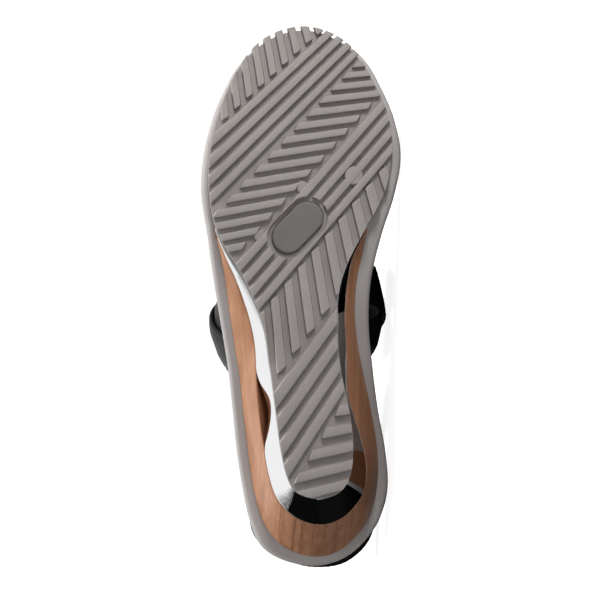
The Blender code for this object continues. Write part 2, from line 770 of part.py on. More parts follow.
def main():
    for old in list(bpy.data.objects):
        bpy.data.objects.remove(old)
    rubber = material("grey rubber", (0.27, 0.26, 0.25), 0.6)
    inlay = material("dark grey rubber", (0.20, 0.20, 0.20), 0.55)
    plated = material("mirror plating", (0.85, 0.85, 0.86), 0.05, 1.0)
    wood = material("beech", (0.52, 0.30, 0.16), 0.5)
    foam = material("light grey platform", (0.48, 0.46, 0.45), 0.7)
    lining = material("footbed leather", (0.05, 0.05, 0.05), 0.6)
    leather = material("black leather", (0.01, 0.01, 0.01), 0.4)
    elastic = material("black elastic", (0.03, 0.03, 0.03), 0.85)
    strap, gore, tab = make_heel_straps(leather, elastic)
    pieces = [
        (make_outsole(rubber), DENSITY["rubber"]),
        (make_inlay(inlay), DENSITY["rubber"]),
        (make_plated_wedge(plated), DENSITY["plastic"]),
        (make_wood_wedge(wood), DENSITY["wood"]),
        (make_platform(foam), DENSITY["plastic"]),
        (make_insole(lining), DENSITY["leather"]),
        (make_cross_straps(leather), DENSITY["leather"]),
        (strap, DENSITY["leather"]),
        (gore, DENSITY["elastic"]),
        (tab, DENSITY["leather"]),
    ]
    for made, _ in pieces:
        made.data.shade_smooth()
        made.data.set_sharp_from_angle(angle=math.radians(35))
    lay_down(pieces)


main()
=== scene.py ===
# %% [markdown]
# A wedge sandal, seen from below.
# The real one is built up in layers: a ribbed rubber sole, a chrome-plated wedge, a beech wedge, a wide
# grey platform and black straps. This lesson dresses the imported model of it, layer by layer, from the
# ground up. Every shape is drawn as the sandal stands, +X to the toe, +Y to the medial side and +Z up, and
# at the end of each step it is laid on its medial side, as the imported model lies.

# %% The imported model
import math
from collections import namedtuple

import bmesh
import bpy
import numpy as np
from mathutils import Matrix, Vector


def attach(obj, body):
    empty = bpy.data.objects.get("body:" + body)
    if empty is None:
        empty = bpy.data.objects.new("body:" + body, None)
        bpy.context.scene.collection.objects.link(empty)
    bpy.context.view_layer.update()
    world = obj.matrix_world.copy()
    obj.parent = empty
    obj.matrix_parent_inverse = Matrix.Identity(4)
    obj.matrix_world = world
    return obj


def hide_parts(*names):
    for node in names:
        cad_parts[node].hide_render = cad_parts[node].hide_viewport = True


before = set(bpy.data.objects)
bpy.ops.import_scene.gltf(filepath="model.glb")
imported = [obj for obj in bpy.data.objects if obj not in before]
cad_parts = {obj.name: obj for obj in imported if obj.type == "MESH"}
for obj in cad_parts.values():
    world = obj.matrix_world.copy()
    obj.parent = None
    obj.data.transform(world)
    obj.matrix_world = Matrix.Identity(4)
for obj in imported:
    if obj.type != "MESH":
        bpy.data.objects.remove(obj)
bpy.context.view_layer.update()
print("nodes:", sorted(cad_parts))

# %% [markdown]
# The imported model's sizes can't be read from its source, so the lesson repeats them here, in metres. A
# share is a share of foot_length counted from the toe, or of ball_width out from the centre line. The hair
# is what keeps two surfaces that touch apart.

# %% Sizes
foot_length = 0.248
ball_width = 0.090
heel_lift = 0.0376
outsole_thickness = 0.0050
rib_height = 0.0024
platform_thickness = 0.012
platform_draft = 0.0016
insole_thickness = 0.0030
insole_inset = 0.0078
toe_spring = 0.0060
scallop_depth = 0.0043
strap_thickness = 0.0024
strap_foot_inset = 0.0028
strap_foot_width = 0.0156
strap_width = 0.0330
instep_height = 0.0600
bulge_height = 0.0280
medial_bulge = 0.0105
lateral_bulge = 0.0065
heel_strap_width = 0.0220
heel_strap_height = 0.0420
joint_gap = 0.0003
hair = 0.0001

spring_start = 0.24
rise_start = 0.27
rise_end = 0.93
wedge_front = 0.37
scallop_start = 0.62
scallop_end = 0.79
plated_share = 0.46
foot_share = 0.13
swell_rate = 1.3
cross_rise = 0.85

Outline = namedtuple("Outline", "toe_end toe_side heel_end heel_side rows")
Width = namedtuple("Width", "at lateral medial")

SOLE = Outline(0.000, 0.010, 0.862, 0.085, [
    Width(0.04, 0.245, 0.260),
    Width(0.10, 0.351, 0.359),
    Width(0.17, 0.424, 0.440),
    Width(0.24, 0.464, 0.453),
    Width(0.31, 0.464, 0.410),
    Width(0.38, 0.420, 0.307),
    Width(0.46, 0.293, 0.200),
    Width(0.54, 0.197, 0.180),
    Width(0.62, 0.162, 0.194),
    Width(0.70, 0.133, 0.239),
    Width(0.77, 0.107, 0.259),
    Width(0.82, 0.076, 0.243),
    Width(0.845, 0.042, 0.206),
])
SEAM = Outline(0.000, 0.010, 0.915, 0.110, [
    Width(0.31, 0.470, 0.370),
    Width(0.38, 0.424, 0.311),
    Width(0.42, 0.384, 0.262),
    Width(0.46, 0.333, 0.239),
    Width(0.52, 0.273, 0.226),
    Width(0.58, 0.235, 0.234),
    Width(0.64, 0.225, 0.243),
    Width(0.70, 0.213, 0.268),
    Width(0.76, 0.190, 0.320),
    Width(0.82, 0.160, 0.344),
    Width(0.86, 0.124, 0.322),
    Width(0.89, 0.062, 0.262),
])
WOOD = Outline(0.000, 0.010, 0.979, 0.108, [
    Width(0.31, 0.472, 0.352),
    Width(0.38, 0.428, 0.330),
    Width(0.42, 0.402, 0.307),
    Width(0.46, 0.381, 0.287),
    Width(0.52, 0.357, 0.279),
    Width(0.58, 0.330, 0.298),
    Width(0.64, 0.301, 0.334),
    Width(0.70, 0.281, 0.373),
    Width(0.76, 0.259, 0.406),
    Width(0.82, 0.236, 0.419),
    Width(0.88, 0.202, 0.398),
    Width(0.92, 0.161, 0.353),
    Width(0.95, 0.100, 0.286),
])
RIM = Outline(0.003, 0.010, 0.997, 0.095, [
    Width(0.04, 0.251, 0.290),
    Width(0.10, 0.360, 0.388),
    Width(0.17, 0.445, 0.470),
    Width(0.24, 0.492, 0.502),
    Width(0.31, 0.502, 0.469),
    Width(0.38, 0.472, 0.409),
    Width(0.46, 0.439, 0.361),
    Width(0.54, 0.400, 0.353),
    Width(0.62, 0.361, 0.378),
    Width(0.70, 0.334, 0.412),
    Width(0.78, 0.309, 0.456),
    Width(0.85, 0.278, 0.472),
    Width(0.91, 0.241, 0.431),
    Width(0.96, 0.178, 0.331),
])

print("outlines:", [len(outline.rows) for outline in (SOLE, SEAM, WOOD, RIM)], "widths")

# %% [markdown]
# A few tools for lines and directions serve all through the lesson. They work on whole arrays of points,
# with one point in each row.

# %% Lines and directions
def unit(vectors):
    """Vectors with a length of 1: each divided by its own length."""
    return vectors / np.linalg.norm(vectors, axis=-1, keepdims=True)


def square_to(vectors, along):
    """The directions of vectors once their part along others, a product of the two, is taken away."""
    return unit(vectors - along * np.sum(vectors * along, axis=1)[:, None])


def lengths_along(points):
    """How long a line of points is up to each of them: the sum of its steps so far."""
    return np.concatenate([[0], np.cumsum(np.linalg.norm(np.diff(points, axis=0), axis=1))])


def between(where, knots, points):
    """A line's points at places along it, each in proportion between two of those it is given by."""
    return np.column_stack([np.interp(where, knots, points[:, i]) for i in range(3)])


print("the direction of (3, 4) is", unit(np.array([3.0, 4.0])))

# %% [markdown]
# Every layer follows the same long curves: the toe curls up a little, and the foot rises from the ball to
# the heel. Each is a function of x alone, so that layers which touch at one place touch everywhere.

# %% The long curves
def smooth_curve(knots, values, where):
    """A smooth curve through the values at the knots: cubic between two knots, with its slope at each
    knot from the knots on either side."""
    knots = np.asarray(knots, float)
    values = np.asarray(values, float)
    slopes = np.gradient(values, knots)
    left = np.clip(np.searchsorted(knots, where, side="right") - 1, 0, len(knots) - 2)
    span = knots[left + 1] - knots[left]
    t = (where - knots[left]) / span
    return (
        (2 * t**3 - 3 * t**2 + 1) * values[left]
        + (t**3 - 2 * t**2 + t) * span * slopes[left]
        + (3 * t**2 - 2 * t**3) * values[left + 1]
        + (t**3 - t**2) * span * slopes[left + 1]
    )


def ease_in_out(t):
    """0 to 1 with a level start and end: 3 t squared less 2 t cubed."""
    t = np.clip(t, 0, 1)
    return t * t * (3 - 2 * t)


def share_to_x(at):
    """Metres from the middle of the foot for a share of its length: half of it less the share."""
    return foot_length * (0.5 - at)


def x_to_share(x):
    """The share of the foot's length at x: one half less x over the length."""
    return 0.5 - x / foot_length


def rise(x):
    """The foot's height above its ball: heel_lift times an eased share of the way to the heel."""
    return heel_lift * ease_in_out((x_to_share(x) - rise_start) / (rise_end - rise_start))


def spring(x):
    """The toe's curl off the ground: a parabola that begins at spring_start."""
    return toe_spring * np.clip((spring_start - x_to_share(x)) / spring_start, 0, None) ** 2


def plated_top(x):
    """The plated wedge's upper side: its share of the rise, on the outsole."""
    return outsole_thickness + joint_gap + plated_share * (rise(x) - 3 * joint_gap)


def wood_bottom(x):
    """The wood's underside: one joint above the plating."""
    return plated_top(x) + joint_gap


def wood_top(x):
    """The wood's upper side: the whole rise, on the outsole."""
    return outsole_thickness + rise(x)


def platform_bottom(x):
    """The platform's underside: the rise and the curl of the toe, one joint above what carries it."""
    return outsole_thickness + spring(x) + rise(x) + joint_gap


def platform_top(x):
    """The platform's upper side: its thickness above its underside."""
    return platform_bottom(x) + platform_thickness


print("rise at the heel", round(float(rise(share_to_x(1.0))), 4))
print("curl at the toe", round(float(spring(share_to_x(0))), 4))

# %% [markdown]
# Each layer's outline is a few widths, measured out from the centre line on both sides. A curve through
# them could be drawn along x, but it would stand upright at the toe and the heel, where the outline turns
# back. Along an angle that runs from 0 at the toe to half a turn at the heel, the same widths give a round
# end.

# %% The outlines of the layers
def turn_along(outline, at):
    """An angle from 0 at the toe to pi at the heel: the arc cosine of the place between the ends."""
    t = (at - outline.toe_end) / (outline.heel_end - outline.toe_end)
    return np.arccos(np.clip(1 - 2 * t, -1, 1))


def outline_at(outline, turn):
    """The share along the foot, and the lateral and medial edge, at angles along the outline."""
    knots = [turn_along(outline, row.at) for row in outline.rows]
    middles = [(row.medial - row.lateral) / 2 for row in outline.rows]
    halves = [(row.medial + row.lateral) / 2 for row in outline.rows]
    if outline.rows[0].at < wedge_front / 2:
        knots = [0.0] + knots
        middles = [outline.toe_side] + middles
        halves = [0.0] + halves
    knots = knots + [math.pi]
    middles = middles + [outline.heel_side]
    halves = halves + [0.0]
    middle = smooth_curve(knots, middles, turn) * ball_width
    half = smooth_curve(knots, halves, turn) * ball_width
    length = outline.heel_end - outline.toe_end
    return outline.toe_end + length * (1 - np.cos(turn)) / 2, middle - half, middle + half


def edge_of(outline, at, side):
    """How far the outline's edge is from the centre line at a share of the foot."""
    _, lateral, medial = outline_at(outline, turn_along(outline, np.asarray(at, float)))
    return lateral if side == "lateral" else medial


def ring(outline, start, count):
    """A loop round the outline: down its lateral side from the start to the heel, and back up the other."""
    first = turn_along(outline, start)
    turn = first + (math.pi - first) * np.linspace(0, 1, count + 1)
    at, lateral, medial = outline_at(outline, turn)
    x = share_to_x(at)
    back = slice(-2, 0, -1) if start <= outline.toe_end else slice(-2, None, -1)
    return np.vstack([np.column_stack([x, lateral]), np.column_stack([x, medial])[back]])


def inset(loop, distance):
    """Each point of a loop moved inwards, square to the line between its two neighbours."""
    along = unit(np.roll(loop, -1, axis=0) - np.roll(loop, 1, axis=0))
    return loop + np.column_stack([along[:, 1], -along[:, 0]]) * distance


def lifted(loop, height):
    """A flat loop with its height, which is a number or a function of x."""
    z = height(loop[:, 0]) if callable(height) else np.full(len(loop), height)
    return np.column_stack([loop, z])


# %% [markdown]
# The sandal lies on its medial side, on its rim and its straps. Two turns and a shift take a point of the
# standing sandal to where it lies: a roll about X of nearly a right angle, and a small pitch about Y,
# because the rim is wider at the ball than at the heel.

# %% Laying it down
roll = math.radians(-89.58535)
pitch = math.radians(-1.12801)
footprint_shift = np.array([0.001993, -0.054671, 0.043854])


def turned(points):
    """Rolled about X, then pitched about Y."""
    x, y, z = np.moveaxis(np.asarray(points, float), -1, 0)
    y, z = y * math.cos(roll) - z * math.sin(roll), y * math.sin(roll) + z * math.cos(roll)
    x, z = x * math.cos(pitch) + z * math.sin(pitch), z * math.cos(pitch) - x * math.sin(pitch)
    return np.stack([x, y, z], axis=-1)


def laid(points):
    """Points of the standing sandal where they lie: turned, then shifted to the middle of the footprint."""
    return turned(points) + footprint_shift


print("the sole faces", turned([0, 0, -1]).round(4), "and the toe points", turned([1, 0, 0]).round(4))

# %% [markdown]
# All the pieces are grids of points joined by four-sided faces. A grid closes on itself in one direction,
# as a loop round the sole does, and its two open ends are closed with strips across.

# %% From points to meshes
merge_distance = 1e-7


def quads(rows, columns):
    """The faces of a closed grid: each joins a point, its neighbour and the two below them."""
    row, column = np.meshgrid(np.arange(rows - 1), np.arange(columns), indexing="ij")
    beside = (column + 1) % columns
    here = row * columns
    below = here + columns
    return np.stack([here + column, here + beside, below + beside, below + column], axis=-1).reshape(-1, 4)


def strips(size, pointed):
    """Strips across a loop, from each point to the one opposite. A pointed loop starts at a tip."""
    half = size // 2
    near = np.arange(0, half)
    if pointed:
        return np.stack([near, near + 1, size - near - 1, (size - near) % size], axis=-1)
    return np.stack([near, near + 1, size - near - 2, size - near - 1], axis=-1)[: half - 1 + size % 2]


def solid_faces(levels, size, pointed=False):
    """The faces of a solid through loops: its wall, and strips across the first and last loop."""
    last = (levels - 1) * size
    return np.vstack([quads(levels, size), strips(size, pointed), strips(size, pointed) + last])


def copies(faces, count, size):
    """One pattern of faces for each of a number of parts with the same number of points."""
    return np.vstack([faces + i * size for i in range(count)])


def add_object(name, data):
    """An object for a mesh, a lamp or a camera, linked to the scene."""
    made = bpy.data.objects.new(name, data)
    bpy.context.collection.objects.link(made)
    return made


def face_outwards(mesh, merge):
    """Turn a mesh's faces outwards. Where asked, its doubles are merged and slivers removed first."""
    shape = bmesh.new()
    shape.from_mesh(mesh)
    if merge:
        bmesh.ops.remove_doubles(shape, verts=shape.verts, dist=merge_distance)
        bmesh.ops.dissolve_degenerate(shape, edges=shape.edges, dist=merge_distance)
    bmesh.ops.recalc_face_normals(shape, faces=shape.faces)
    shape.to_mesh(mesh)
    shape.free()


def new_piece(name, points, faces, finish):
    """A mesh object from points and four-sided faces, cleaned, with one material."""
    mesh = bpy.data.meshes.new(name)
    mesh.from_pydata(np.reshape(points, (-1, 3)).tolist(), [], np.reshape(faces, (-1, 4)).tolist())
    mesh.validate()
    face_outwards(mesh, merge=True)
    mesh.materials.append(finish)
    return add_object(name, mesh)


def layered(name, loops, pointed, finish):
    """A closed solid through loops of equal size, with strips across the first and the last."""
    return new_piece(name, np.vstack(loops), solid_faces(len(loops), len(loops[0]), pointed), finish)


def cut(target, tool, operation, own_overlaps=False):
    """Cut one piece with another, or keep what they share, and remove the tool."""
    modifier = target.modifiers.new("cut", "BOOLEAN")
    modifier.operation = operation
    modifier.solver = "EXACT"
    modifier.use_self = own_overlaps
    modifier.object = tool
    graph = bpy.context.evaluated_depsgraph_get()
    mesh = bpy.data.meshes.new_from_object(target.evaluated_get(graph))
    target.modifiers.clear()
    target.data = mesh
    bpy.data.objects.remove(tool)


def corners_of(piece):
    """The piece's points as one array."""
    points = np.empty(3 * len(piece.data.vertices))
    piece.data.vertices.foreach_get("co", points)
    return points.reshape(-1, 3)


def move_corners(piece, points):
    """Put an array of points back into the piece."""
    piece.data.vertices.foreach_set("co", points.astype(np.float32).ravel())
    piece.data.update()


def lay_down(piece, nodes=(), crease=35):
    """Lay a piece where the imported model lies, shade it, and hang it on the model's one body."""
    move_corners(piece, laid(corners_of(piece)))
    piece.data.shade_smooth()
    piece.data.set_sharp_from_angle(angle=math.radians(crease))
    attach(piece, "root")
    if nodes:
        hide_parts(*nodes)
    print(piece.name, len(piece.data.polygons), "faces")


# %% [markdown]
# Materials come before the pieces. Blender builds each from nodes. A few helpers make, link and fill them
# in one line each, so that a material reads as a list of what is on it.

# %% Helpers for materials
def feed(tree, socket, value):
    """Give a socket its value: linked where the value is itself a socket, and set where it is plain."""
    if isinstance(value, bpy.types.NodeSocket):
        tree.links.new(value, socket)
    else:
        socket.default_value = value


def add_node(tree, kind, **inputs):
    """A node with its inputs fed by name."""
    made = tree.nodes.new(kind)
    for name, value in inputs.items():
        feed(tree, made.inputs[name], value)
    return made


def new_group(name, output, **inputs):
    """A node group with number inputs and one output: its tree, given values, place and way out."""
    group = bpy.data.node_groups.new(name, "ShaderNodeTree")
    for socket, value in inputs.items():
        made = group.interface.new_socket(socket, in_out="INPUT", socket_type="NodeSocketFloat")
        made.default_value = value
    group.interface.new_socket(output, in_out="OUTPUT", socket_type="NodeSocketFloat")
    given = group.nodes.new("NodeGroupInput").outputs
    place = group.nodes.new("ShaderNodeTexCoord").outputs["Object"]
    return group, given, place, group.nodes.new("NodeGroupOutput").inputs[0]


def use_group(tree, group, **inputs):
    """What a group gives in a material, with its own values."""
    made = tree.nodes.new("ShaderNodeGroup")
    made.node_tree = group
    for name, value in inputs.items():
        feed(tree, made.inputs[name], value)
    return made.outputs[0]


def noise(tree, place, scale, detail, roughness=0.5):
    """Smooth noise from 0 to 1 at a place. The detail is how many finer layers are added to it."""
    made = add_node(tree, "ShaderNodeTexNoise", Vector=place, Scale=scale, Detail=detail, Roughness=roughness)
    return made.outputs["Fac"]


def stretched(tree, place, scale, turn=(0.0, 0.0, 0.0)):
    """Coordinates scaled on each axis, then turned: the least scale draws a pattern out the most."""
    return add_node(tree, "ShaderNodeMapping", Vector=place, Rotation=turn, Scale=scale).outputs["Vector"]


def rescaled(tree, value, start, end, low=0.0, high=1.0):
    """A number taken in proportion from the range between start and end to that between low and high."""
    made = add_node(tree, "ShaderNodeMapRange", Value=value)
    for name, limit in (("From Min", start), ("From Max", end), ("To Min", low), ("To Max", high)):
        made.inputs[name].default_value = limit
    return made.outputs["Result"]


def grey(value):
    """A colour with all three parts alike."""
    return (value, value, value)


def ramp(tree, value, stops):
    """A colour ramp through (place, colour) stops."""
    made = tree.nodes.new("ShaderNodeValToRGB")
    tree.links.new(value, made.inputs["Fac"])
    while len(made.color_ramp.elements) < len(stops):
        made.color_ramp.elements.new(0.5)
    for element, (place, colour) in zip(made.color_ramp.elements, stops):
        element.position = place
        element.color = (*colour, 1.0)
    return made.outputs["Color"]


def mix_colour(tree, amount, first, second, way="MIX"):
    """Mix two colours by an amount, each a socket or plain values."""
    made = tree.nodes.new("ShaderNodeMix")
    made.data_type = "RGBA"
    made.blend_type = way
    for index, value in ((0, amount), (6, first), (7, second)):
        feed(tree, made.inputs[index], (*value, 1.0) if isinstance(value, tuple) else value)
    return made.outputs[2]


def calc(tree, way, first, second):
    """One sum or product of two numbers, each a socket or a plain value."""
    made = tree.nodes.new("ShaderNodeMath")
    made.operation = way
    feed(tree, made.inputs[0], first)
    feed(tree, made.inputs[1], second)
    return made.outputs[0]


def mix_shaders(tree, amount, first, second):
    """The first shader where the amount is 0, and the second where it is 1."""
    made = tree.nodes.new("ShaderNodeMixShader")
    for socket, value in zip(made.inputs, (amount, first.outputs[0], second.outputs[0])):
        tree.links.new(value, socket)
    return made.outputs[0]


def new_finish(name, colour, roughness, metallic=0.0):
    """A material, its tree, its shader and its Object coordinates."""
    made = bpy.data.materials.new(name)
    made.use_nodes = True
    made.diffuse_color = (*colour, 1.0)
    tree = made.node_tree
    shader = tree.nodes["Principled BSDF"]
    shader.inputs["Base Color"].default_value = (*colour, 1.0)
    shader.inputs["Roughness"].default_value = roughness
    shader.inputs["Metallic"].default_value = metallic
    place = tree.nodes.new("ShaderNodeTexCoord").outputs["Object"]
    return made, tree, shader, place


def add_bump(tree, shader, height, strength, distance):
    """Fine relief on a shader, from a height that changes over the surface."""
    bump = add_node(tree, "ShaderNodeBump", Strength=strength, Distance=distance, Height=height)
    tree.links.new(bump.outputs["Normal"], shader.inputs["Normal"])


def srgb(red, green, blue):
    """Linear values for a colour as it is seen on a screen, 0 to 255."""
    seen = np.array([red, green, blue]) / 255
    return tuple(float(v) for v in np.where(seen <= 0.04045, seen / 12.92, ((seen + 0.055) / 1.055) ** 2.4))


print("white on screen is", srgb(255, 255, 255), "in the shader")

# %% [markdown]
# Four effects are used by several finishes, so each is a node group that is built once and placed with its
# own values: slow mottling, the pebbled grain of leather, a fine dust that settles on rubber and foam, and
# the fine relief of a moulded or spun skin.

# %% Effects that several finishes share
mottle, given, place, out = new_group("mottle", "Amount", Scale=60.0, Detail=3.0)
mottle.links.new(noise(mottle, place, given["Scale"], given["Detail"]), out)

hide_grain, given, place, out = new_group("hide grain", "Height", Scale=900.0)
pebble = add_node(hide_grain, "ShaderNodeTexVoronoi", Vector=place, Scale=given["Scale"], Randomness=0.9)
pebble.feature = "SMOOTH_F1"
fold = calc(hide_grain, "MULTIPLY", noise(hide_grain, place, 120.0, 4.0), 0.8)
hide_grain.links.new(calc(hide_grain, "ADD", pebble.outputs["Distance"], fold), out)

settled_dust, given, place, out = new_group("settled dust", "Mask", Scale=1500.0, Amount=0.3)
speck = noise(settled_dust, place, given["Scale"], 2.0, 0.7)
drift = noise(settled_dust, place, 35.0, 3.0)
raised = calc(settled_dust, "SUBTRACT", calc(settled_dust, "MULTIPLY", speck, drift), 0.2)
masked = calc(settled_dust, "MULTIPLY", raised, given["Amount"])
settled_dust.links.new(calc(settled_dust, "MULTIPLY", masked, 4.0), out)

fine_skin, given, place, out = new_group("fine skin", "Height", Scale=2600.0)
fine_skin.links.new(noise(fine_skin, place, given["Scale"], 2.0), out)
print("groups:", [group.name for group in bpy.data.node_groups])

# %% [markdown]
# The rubber is one grey compound. The rib faces are a little paler, because they are scuffed by the floor,
# and the groove floors are painted a little darker, as painted shade in the grooves. The mesh carries how
# deep each point lies, and the colour follows it.

# %% Rubber
tread_rubber, tree, shader, place = new_finish("grey tread rubber", srgb(158, 152, 149), 0.62)
depth = tree.nodes.new("ShaderNodeAttribute")
depth.attribute_name = "depth"
cloudy = use_group(tree, mottle, Scale=45.0, Detail=4.0)
face = mix_colour(tree, cloudy, srgb(152, 146, 143), srgb(168, 162, 159))
# Painted shade: the groove floors are a little darker than the rib faces, which are also paler where scuffed.
groove_shade_tone = mix_colour(tree, cloudy, srgb(146, 140, 138), srgb(162, 156, 153))
tone = mix_colour(tree, depth.outputs["Fac"], face, groove_shade_tone)
dust = use_group(tree, settled_dust, Scale=1800.0, Amount=0.35)
tree.links.new(mix_colour(tree, dust, tone, srgb(186, 180, 174)), shader.inputs["Base Color"])
add_bump(tree, shader, use_group(tree, fine_skin, Scale=2600.0), 0.25, 0.0002)
print(tread_rubber.name, len(tree.nodes), "nodes")

inlay_rubber, tree, shader, place = new_finish("smooth grey rubber", srgb(120, 116, 114), 0.45)
cloudy = use_group(tree, mottle, Scale=80.0, Detail=3.0)
tone = mix_colour(tree, cloudy, srgb(112, 108, 106), srgb(128, 123, 121))
tree.links.new(tone, shader.inputs["Base Color"])
add_bump(tree, shader, use_group(tree, fine_skin, Scale=3200.0), 0.12, 0.0002)
print(inlay_rubber.name, len(tree.nodes), "nodes")

# %% [markdown]
# The plated wedge is a mirror: nearly no roughness, and only the faintest waviness, which breaks the edges
# of what it reflects as on real plating.

# %% Plating
plating, tree, shader, place = new_finish("chrome plating", (0.86, 0.86, 0.87), 0.04, 1.0)
smear = use_group(tree, mottle, Scale=90.0, Detail=4.0)
gloss = calc(tree, "ADD", calc(tree, "MULTIPLY", smear, 0.05), 0.015)
tree.links.new(gloss, shader.inputs["Roughness"])
add_bump(tree, shader, noise(tree, place, 70.0, 1.0), 0.10, 0.0004)
print(plating.name, len(tree.nodes), "nodes")

# %% [markdown]
# Beech has a plain, pinkish face with fine darker lines where the growth rings come to the surface, and
# short dark flecks. The grain runs the length of the foot, so every pattern here is stretched along X.

# %% Beech
beech, tree, shader, place = new_finish("varnished beech", srgb(200, 150, 116), 0.42)
fibre = noise(tree, stretched(tree, place, (5.0, 160.0, 420.0), (0.0, 0.012, 0.02)), 1.0, 6.0, 0.6)
fine = ramp(tree, fibre, [
    (0.30, srgb(184, 132, 100)), (0.50, srgb(203, 153, 120)), (0.70, srgb(217, 169, 137)),
])
board = noise(tree, stretched(tree, place, (4.0, 40.0, 40.0)), 1.0, 2.0)
boards = mix_colour(tree, board, srgb(212, 195, 182), srgb(241, 236, 231))
face = mix_colour(tree, 1.0, fine, boards, "MULTIPLY")
year = noise(tree, stretched(tree, place, (5.0, 9.0, 900.0), (0.0, 0.010, 0.0)), 1.0, 1.0)
line = ramp(tree, year, [(0.57, grey(0.0)), (0.65, grey(1.0))])
patchy = ramp(tree, board, [(0.35, grey(0.25)), (0.65, grey(1.0))])
along_foot = add_node(tree, "ShaderNodeSeparateXYZ", Vector=place).outputs["X"]
near_heel = rescaled(tree, along_foot, -0.080, -0.100, 0.10, 0.62)
strength = calc(tree, "MULTIPLY", calc(tree, "MULTIPLY", line, patchy), near_heel)
ringed = mix_colour(tree, strength, face, srgb(110, 66, 44))
fleck = noise(tree, stretched(tree, place, (330.0, 2600.0, 2600.0)), 1.0, 0.0)
dark = ramp(tree, fleck, [(0.74, grey(0.0)), (0.80, grey(1.0))])
flecked = mix_colour(tree, calc(tree, "MULTIPLY", dark, 0.5), ringed, srgb(128, 80, 56))
tree.links.new(flecked, shader.inputs["Base Color"])
add_bump(tree, shader, fibre, 0.12, 0.0002)
shader.inputs["Coat Weight"].default_value = 0.25
shader.inputs["Coat Roughness"].default_value = 0.25
print(beech.name, len(tree.nodes), "nodes")

# %% [markdown]
# The platform is foam under a smooth matte skin, pale grey. Its sheen is faint and even, with a fine orange
# peel.

# %% Foam skin
foam_skin, tree, shader, place = new_finish("pale grey foam", srgb(186, 181, 179), 0.55)
cloudy = use_group(tree, mottle, Scale=25.0, Detail=3.0)
tone = mix_colour(tree, cloudy, srgb(178, 173, 171), srgb(192, 187, 185))
dust = use_group(tree, settled_dust, Scale=1400.0, Amount=0.2)
tree.links.new(mix_colour(tree, dust, tone, srgb(205, 200, 196)), shader.inputs["Base Color"])
add_bump(tree, shader, use_group(tree, fine_skin, Scale=1500.0), 0.12, 0.0002)
print(foam_skin.name, len(tree.nodes), "nodes")

# %% [markdown]
# The straps are smooth black leather with a soft gloss, the footbed a duller lining leather, and the
# stretch of the heel strap a woven elastic: fine cords along it, crossed by threads.

# %% Leather, elastic and thread
strap_leather, tree, shader, place = new_finish("black strap leather", srgb(26, 25, 26), 0.38)
cloudy = use_group(tree, mottle, Scale=70.0, Detail=4.0)
tree.links.new(mix_colour(tree, cloudy, srgb(19, 18, 19), srgb(34, 32, 33)), shader.inputs["Base Color"])
tree.links.new(calc(tree, "ADD", calc(tree, "MULTIPLY", cloudy, 0.18), 0.36), shader.inputs["Roughness"])
shader.inputs["Specular IOR Level"].default_value = 0.08
add_bump(tree, shader, use_group(tree, hide_grain, Scale=1300.0), 0.22, 0.0003)

lining_leather, tree, shader, place = new_finish("black lining leather", srgb(44, 41, 40), 0.6)
cloudy = use_group(tree, mottle, Scale=40.0, Detail=5.0)
tree.links.new(mix_colour(tree, cloudy, srgb(36, 33, 32), srgb(54, 50, 48)), shader.inputs["Base Color"])
add_bump(tree, shader, use_group(tree, hide_grain, Scale=1000.0), 0.35, 0.0004)

woven_elastic, tree, shader, place = new_finish("black woven elastic", srgb(38, 37, 38), 0.8)
lie = tree.nodes.new("ShaderNodeAttribute")
lie.attribute_name = "weave"
cords = add_node(tree, "ShaderNodeTexWave", Vector=lie.outputs["Vector"], Scale=320.0, Distortion=0.0)
cords.bands_direction = "Y"
threads = add_node(tree, "ShaderNodeTexWave", Vector=lie.outputs["Vector"], Scale=420.0, Distortion=0.4)
threads.bands_direction = "X"
woven = calc(tree, "ADD", cords.outputs["Fac"], calc(tree, "MULTIPLY", threads.outputs["Fac"], 0.6))
tone = ramp(tree, woven, [(0.1, srgb(14, 14, 15)), (0.9, srgb(66, 64, 66))])
tree.links.new(tone, shader.inputs["Base Color"])
add_bump(tree, shader, woven, 0.8, 0.0004)
shader.inputs["Sheen Weight"].default_value = 0.15

seam_thread, tree, shader, place = new_finish("black thread", srgb(34, 33, 34), 0.5)
add_bump(tree, shader, use_group(tree, fine_skin, Scale=4000.0), 0.4, 0.0002)
print("straps:", [finish.name for finish in (strap_leather, lining_leather, woven_elastic, seam_thread)])

# %% [markdown]
# The outsole is a thin plate with ribs standing on it. The ribs fill eight fields, each a four-cornered
# patch with a first and a last rib, and the last of the toe's is a short nub. A rib is drawn at full length
# as a bar with softened edges, and then the bars are cut to the sole's outline, as the mould's wall cuts
# them.

# %% The plate of the outsole
plate_inset_at_toe = 0.0020
full_tuck = 0.016
tuck_end = 0.096
SOLE_STEPS = 200
PLATE_EDGE = [(0.0006, 0.0), (0.0002, 0.0001), (0.0, 0.0005)]


def toe_tuck(loop):
    """A loop drawn in at the tip of the toe, where only the ribs reach the edge, by an eased share."""
    tuck = ease_in_out((tuck_end - x_to_share(loop[:, 0])) / (tuck_end - full_tuck))
    return inset(loop, plate_inset_at_toe * tuck[:, None])


def groove_floor(x):
    """The plate's underside, which is the floor of the grooves: a rib's height and the curl of the toe."""
    return rib_height + spring(x)


def sole_top(x):
    """The outsole's upper side: level under the wedge, and up under the platform ahead of it."""
    return outsole_thickness + spring(x) + np.where(x > share_to_x(wedge_front) + 1.5 * joint_gap, rise(x), 0)


sole_loop = toe_tuck(ring(SOLE, SOLE.toe_end, SOLE_STEPS))
plate_loops = [
    lifted(inset(sole_loop, inside), lambda x, up=up: groove_floor(x) + up)
    for inside, up in PLATE_EDGE
]
plate_loops.append(lifted(sole_loop, sole_top))
outsole_plate = layered("outsole_plate", plate_loops, True, tread_rubber)
print("the plate's loop has", len(sole_loop), "points")

